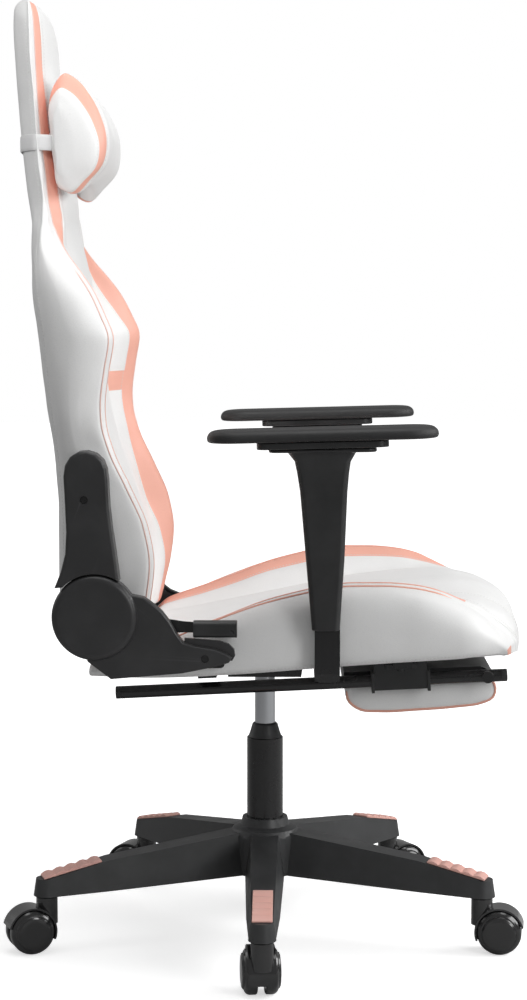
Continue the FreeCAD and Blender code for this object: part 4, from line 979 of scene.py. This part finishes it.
PAD_PROFILE = [  # inset from the outline, height over the plate
    (30, 9.0), (8, 9.0), (3.6, 9.3), (1.5, 10.3), (0.4, 12), (0, 14.5), (0.4, 17.2),
    (1.6, 19.8), (3.6, 21.8), (6.6, 23.2), (10, 24.0), (15, 24.4), (22, 24.5), (30, 24.3),
    (38, 24.1), (44, 24.0)]
PAD_HALF = (47.5, 144.5)
PAD_CORNER = 38.0
PAD_SHIFT = 0.5  # of the pad's middle behind the plate's
ARM_PITCH = math.radians(1.5)
ARM_TOP = (279.0, 76.0, 696.0)


def rounded_outline(inset, per_corner=14, per_side=22, per_end=5):
    """A rectangle with round corners, inset from the pad's outline, as (x, y) points."""
    wide, long = PAD_HALF[0] - inset, PAD_HALF[1] - inset
    radius = max(PAD_CORNER - inset, min(wide, 2.0))
    radius = min(radius, wide)
    points = []
    corners = [(1, 1, 0), (-1, 1, 90), (-1, -1, 180), (1, -1, 270)]
    for k, (sx, sy, start) in enumerate(corners):
        cx, cy = sx * (wide - radius), sy * (long - radius)
        for step in range(per_corner + 1):
            angle = math.radians(start + 90 * step / per_corner)
            points.append((cx + radius * math.cos(angle), cy + radius * math.sin(angle)))
        nx, ny, nstart = corners[(k + 1) % 4]
        angle = math.radians(nstart)
        goal = (nx * (wide - radius) + radius * math.cos(angle),
                ny * (long - radius) + radius * math.sin(angle))
        last = points[-1]
        count = per_end if k % 2 == 0 else per_side
        for step in range(1, count):
            share = step / count
            points.append((last[0] + (goal[0] - last[0]) * share,
                           last[1] + (goal[1] - last[1]) * share))
    return points


def arm_pad(name, side):
    rings = [[(x, y, high) for x, y in rounded_outline(inset)] for inset, high in PAD_PROFILE]
    obj = solid(f"armrest_pad_top_{name}", [p for ring in rings for p in ring],
                tube(len(rings), len(rings[0])), [ARM_PAD])
    with editing(obj.data) as work:
        bmesh.ops.recalc_face_normals(work, faces=work.faces)
    place = (Matrix.Translation((side * ARM_TOP[0], -ARM_TOP[1], ARM_TOP[2]))
             @ Matrix.Rotation(-ARM_PITCH, 4, "X") @ Matrix.Translation((0, PAD_SHIFT, 0)))
    obj.data.transform(Matrix.Scale(MM, 4) @ place)
    subdivided(obj)
    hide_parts(f"armrest_pad_{name}")
    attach(obj, f"armrest_slide_{name}")


# ------ hard parts

FINISHES = {"nylon_black": NYLON, "plastic_black": POST, "wheel_black": WHEEL,
            "grip_pink": GRIP, "steel_black": STEEL, "chrome": CHROME, "zinc_steel": ZINC,
            "leather_white": WHITE, "elastic_white": ELASTIC, "pad_black": ARM_PAD}
ROUNDED = {  # CAD node prefix: width of the rounding on its sharp edges
    "star_base": 1.6, "foot_grips": 0.7, "gas_lift_tube": 0.8, "gas_lift_collar": 0.7,
    "armrest_post": 2.2, "armrest_plate": 1.2, "armrest_bracket": 1.4, "hinge_cover": 1.1,
    "footrest_sleeve": 1.0, "footrest_tray": 1.6, "footrest_rail_caps": 0.9,
    "recline_lever_grip": 0.7, "recline_lever": 0.5, "lift_lever_grip": 0.9,
    "recline_plate": 0.5, "seat_plate": 0.5, "caster_frame": 0.7,
    "footrest_axle": 0.4}


def rounding(name):
    fits = [key for key in ROUNDED if name == key or name.startswith(key + "_")]
    return ROUNDED[max(fits, key=len)] * MM if fits else 0.0


def bevelled(name, node, body, material, width):
    """A copy of a CAD node with its sharp edges rounded, shown in its place."""
    mesh = node.data.copy()
    mesh.name = name
    with editing(mesh) as work:
        bmesh.ops.remove_doubles(work, verts=work.verts, dist=2e-6)
        bmesh.ops.dissolve_limit(work, angle_limit=math.radians(0.4), verts=work.verts,
                                 edges=work.edges)
    for key in [a.name for a in mesh.attributes if a.name == "custom_normal"]:
        mesh.attributes.remove(mesh.attributes[key])
    mesh.materials.clear()
    mesh.materials.append(material)
    mesh.shade_smooth()
    obj = placed(name, mesh)
    bevel = obj.modifiers.new("rounding", "BEVEL")
    bevel.width = width
    bevel.segments = 3
    bevel.limit_method = "ANGLE"
    bevel.angle_limit = math.radians(32)
    bevel.use_clamp_overlap = True
    even = obj.modifiers.new("flat_faces", "WEIGHTED_NORMAL")
    even.weight = 100
    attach(obj, body)
    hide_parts(node.name)


def hard_parts():
    slots = {s["node"]: s["material_slot"] for s in frame["record"]["subparts"]}
    for name, node in nodes.items():
        slot = slots[name]
        material = FINISHES[slot]
        if name.startswith("hinge_cover"):
            material = COVER
        elif name.startswith("caster_frame"):
            material = WHEEL
        elif slot == "zinc_steel" and "bolt" in name:
            material = STEEL
        node.data.materials.clear()
        node.data.materials.append(material)
        width = rounding(name)
        if width:
            bevelled(name + "_part", node, node["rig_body"], material, width)


# ------ camera, light, floor

CAMERA_PLACE = (-3.02715, -0.03416, 0.86641)
CAMERA_AHEAD = (0.99623669, 0.01192871, -0.08584968)


def camera():
    """A long lens level with the seat back, a little above it, from the sitter's right."""
    data = bpy.data.cameras.new("camera")
    data.sensor_width = 36.0
    data.lens = 79.38
    data.clip_end = 60.0
    made = placed("camera", data)
    ahead = Vector(CAMERA_AHEAD).normalized()
    right = ahead.cross(Vector((0, 0, 1))).normalized()
    up = right.cross(ahead)
    made.matrix_world = Matrix((right, up, -ahead)).transposed().to_4x4()
    made.location = CAMERA_PLACE
    scene.camera = made


def light(name, kind, place, target, power):
    """A light aimed at a point. Its data is returned for the rest of its settings."""
    data = bpy.data.lights.new(name, kind)
    data.energy = power
    lamp = placed(name, data)
    lamp.location = place
    lamp.rotation_euler = (Vector(target) - Vector(place)).to_track_quat("-Z", "Y").to_euler()
    return data


def area_light(name, place, target, size, power):
    data = light(name, "AREA", place, target, power)
    data.shape = "RECTANGLE"
    data.size, data.size_y = size


def spot_light(name, place, target, cone_degrees, power):
    data = light(name, "SPOT", place, target, power)
    data.spot_size = math.radians(cone_degrees)
    data.spot_blend = 1.0
    data.shadow_soft_size = 0.25


SKY_FILL = 0.27  # strength of the backdrop as a light; the camera sees it pure white


def studio():
    area_light("key_front", (0.2, -3.6, 2.3), (0, 0, 0.8), (2.6, 2.4), 94)
    area_light("top", (-0.1, -0.2, 3.6), (0, 0, 0.6), (2.6, 2.6), 44)
    area_light("side_fill", (-3.0, -2.6, 1.9), (0, 0, 0.7), (1.2, 2.0), 42)
    area_light("rear_rim", (1.8, 3.4, 2.0), (0, 0, 0.8), (2.0, 2.4), 14)
    spot_light("head_fill", (-2.3, 0.9, 1.9), (-0.1, 0.27, 1.16), 20, 100)
    world = bpy.data.worlds.new("studio")
    world.use_nodes = True
    background = world.node_tree.nodes["Background"]
    background.inputs["Color"].default_value = (1, 1, 1, 1)
    path = world.node_tree.nodes.new("ShaderNodeLightPath")
    level = world.node_tree.nodes.new("ShaderNodeMapRange")
    level.inputs["To Min"].default_value = SKY_FILL
    level.inputs["To Max"].default_value = 1.0
    world.node_tree.links.new(path.outputs["Is Camera Ray"], level.inputs["Value"])
    world.node_tree.links.new(level.outputs[0], background.inputs["Strength"])
    scene.world = world
    scene.view_settings.view_transform = "Standard"


FLOOR_GLOW = (0.6, 1.0)  # lifts the paper to the backdrop's white, near the chair and far off
FLOOR_REACH = (0.9, 3.0)  # metres from the chair between which the glow grows
FLOOR_BOUNCE = 0.45


def floor():
    bpy.ops.mesh.primitive_circle_add(vertices=96, radius=14, fill_type="NGON")
    ground = bpy.context.object
    ground.name = "studio_floor"
    f = Finish("floor_pale", (0.93, 0.93, 0.93), 0.8, Specular_IOR_Level=0.1)
    f.shader.inputs["Emission Color"].default_value = (1, 1, 1, 1)
    seen = f.node("LightPath").outputs["Is Camera Ray"]
    away = f.node("VectorMath", {0: f.place}, operation="LENGTH").outputs["Value"]
    lift = f.remap(away, *FLOOR_REACH, *FLOOR_GLOW)
    glow = f.node("Math", {0: seen, 1: lift}, operation="MULTIPLY").outputs[0]
    f.tree.links.new(glow, f.shader.inputs["Emission Strength"])
    paper = f.blend(seen, (*[FLOOR_BOUNCE] * 3, 1), (0.93, 0.93, 0.93, 1))
    f.tree.links.new(paper, f.shader.inputs["Base Color"])
    f.bump(f.noise(60.0), 0.02, 0.001)
    ground.data.materials.append(f.material)


camera()
studio()
floor()
hard_parts()
head = back()
seat()
pillow()
strap(head)
foot_cushion()
arm_pad("R", -1)
arm_pad("L", 1)
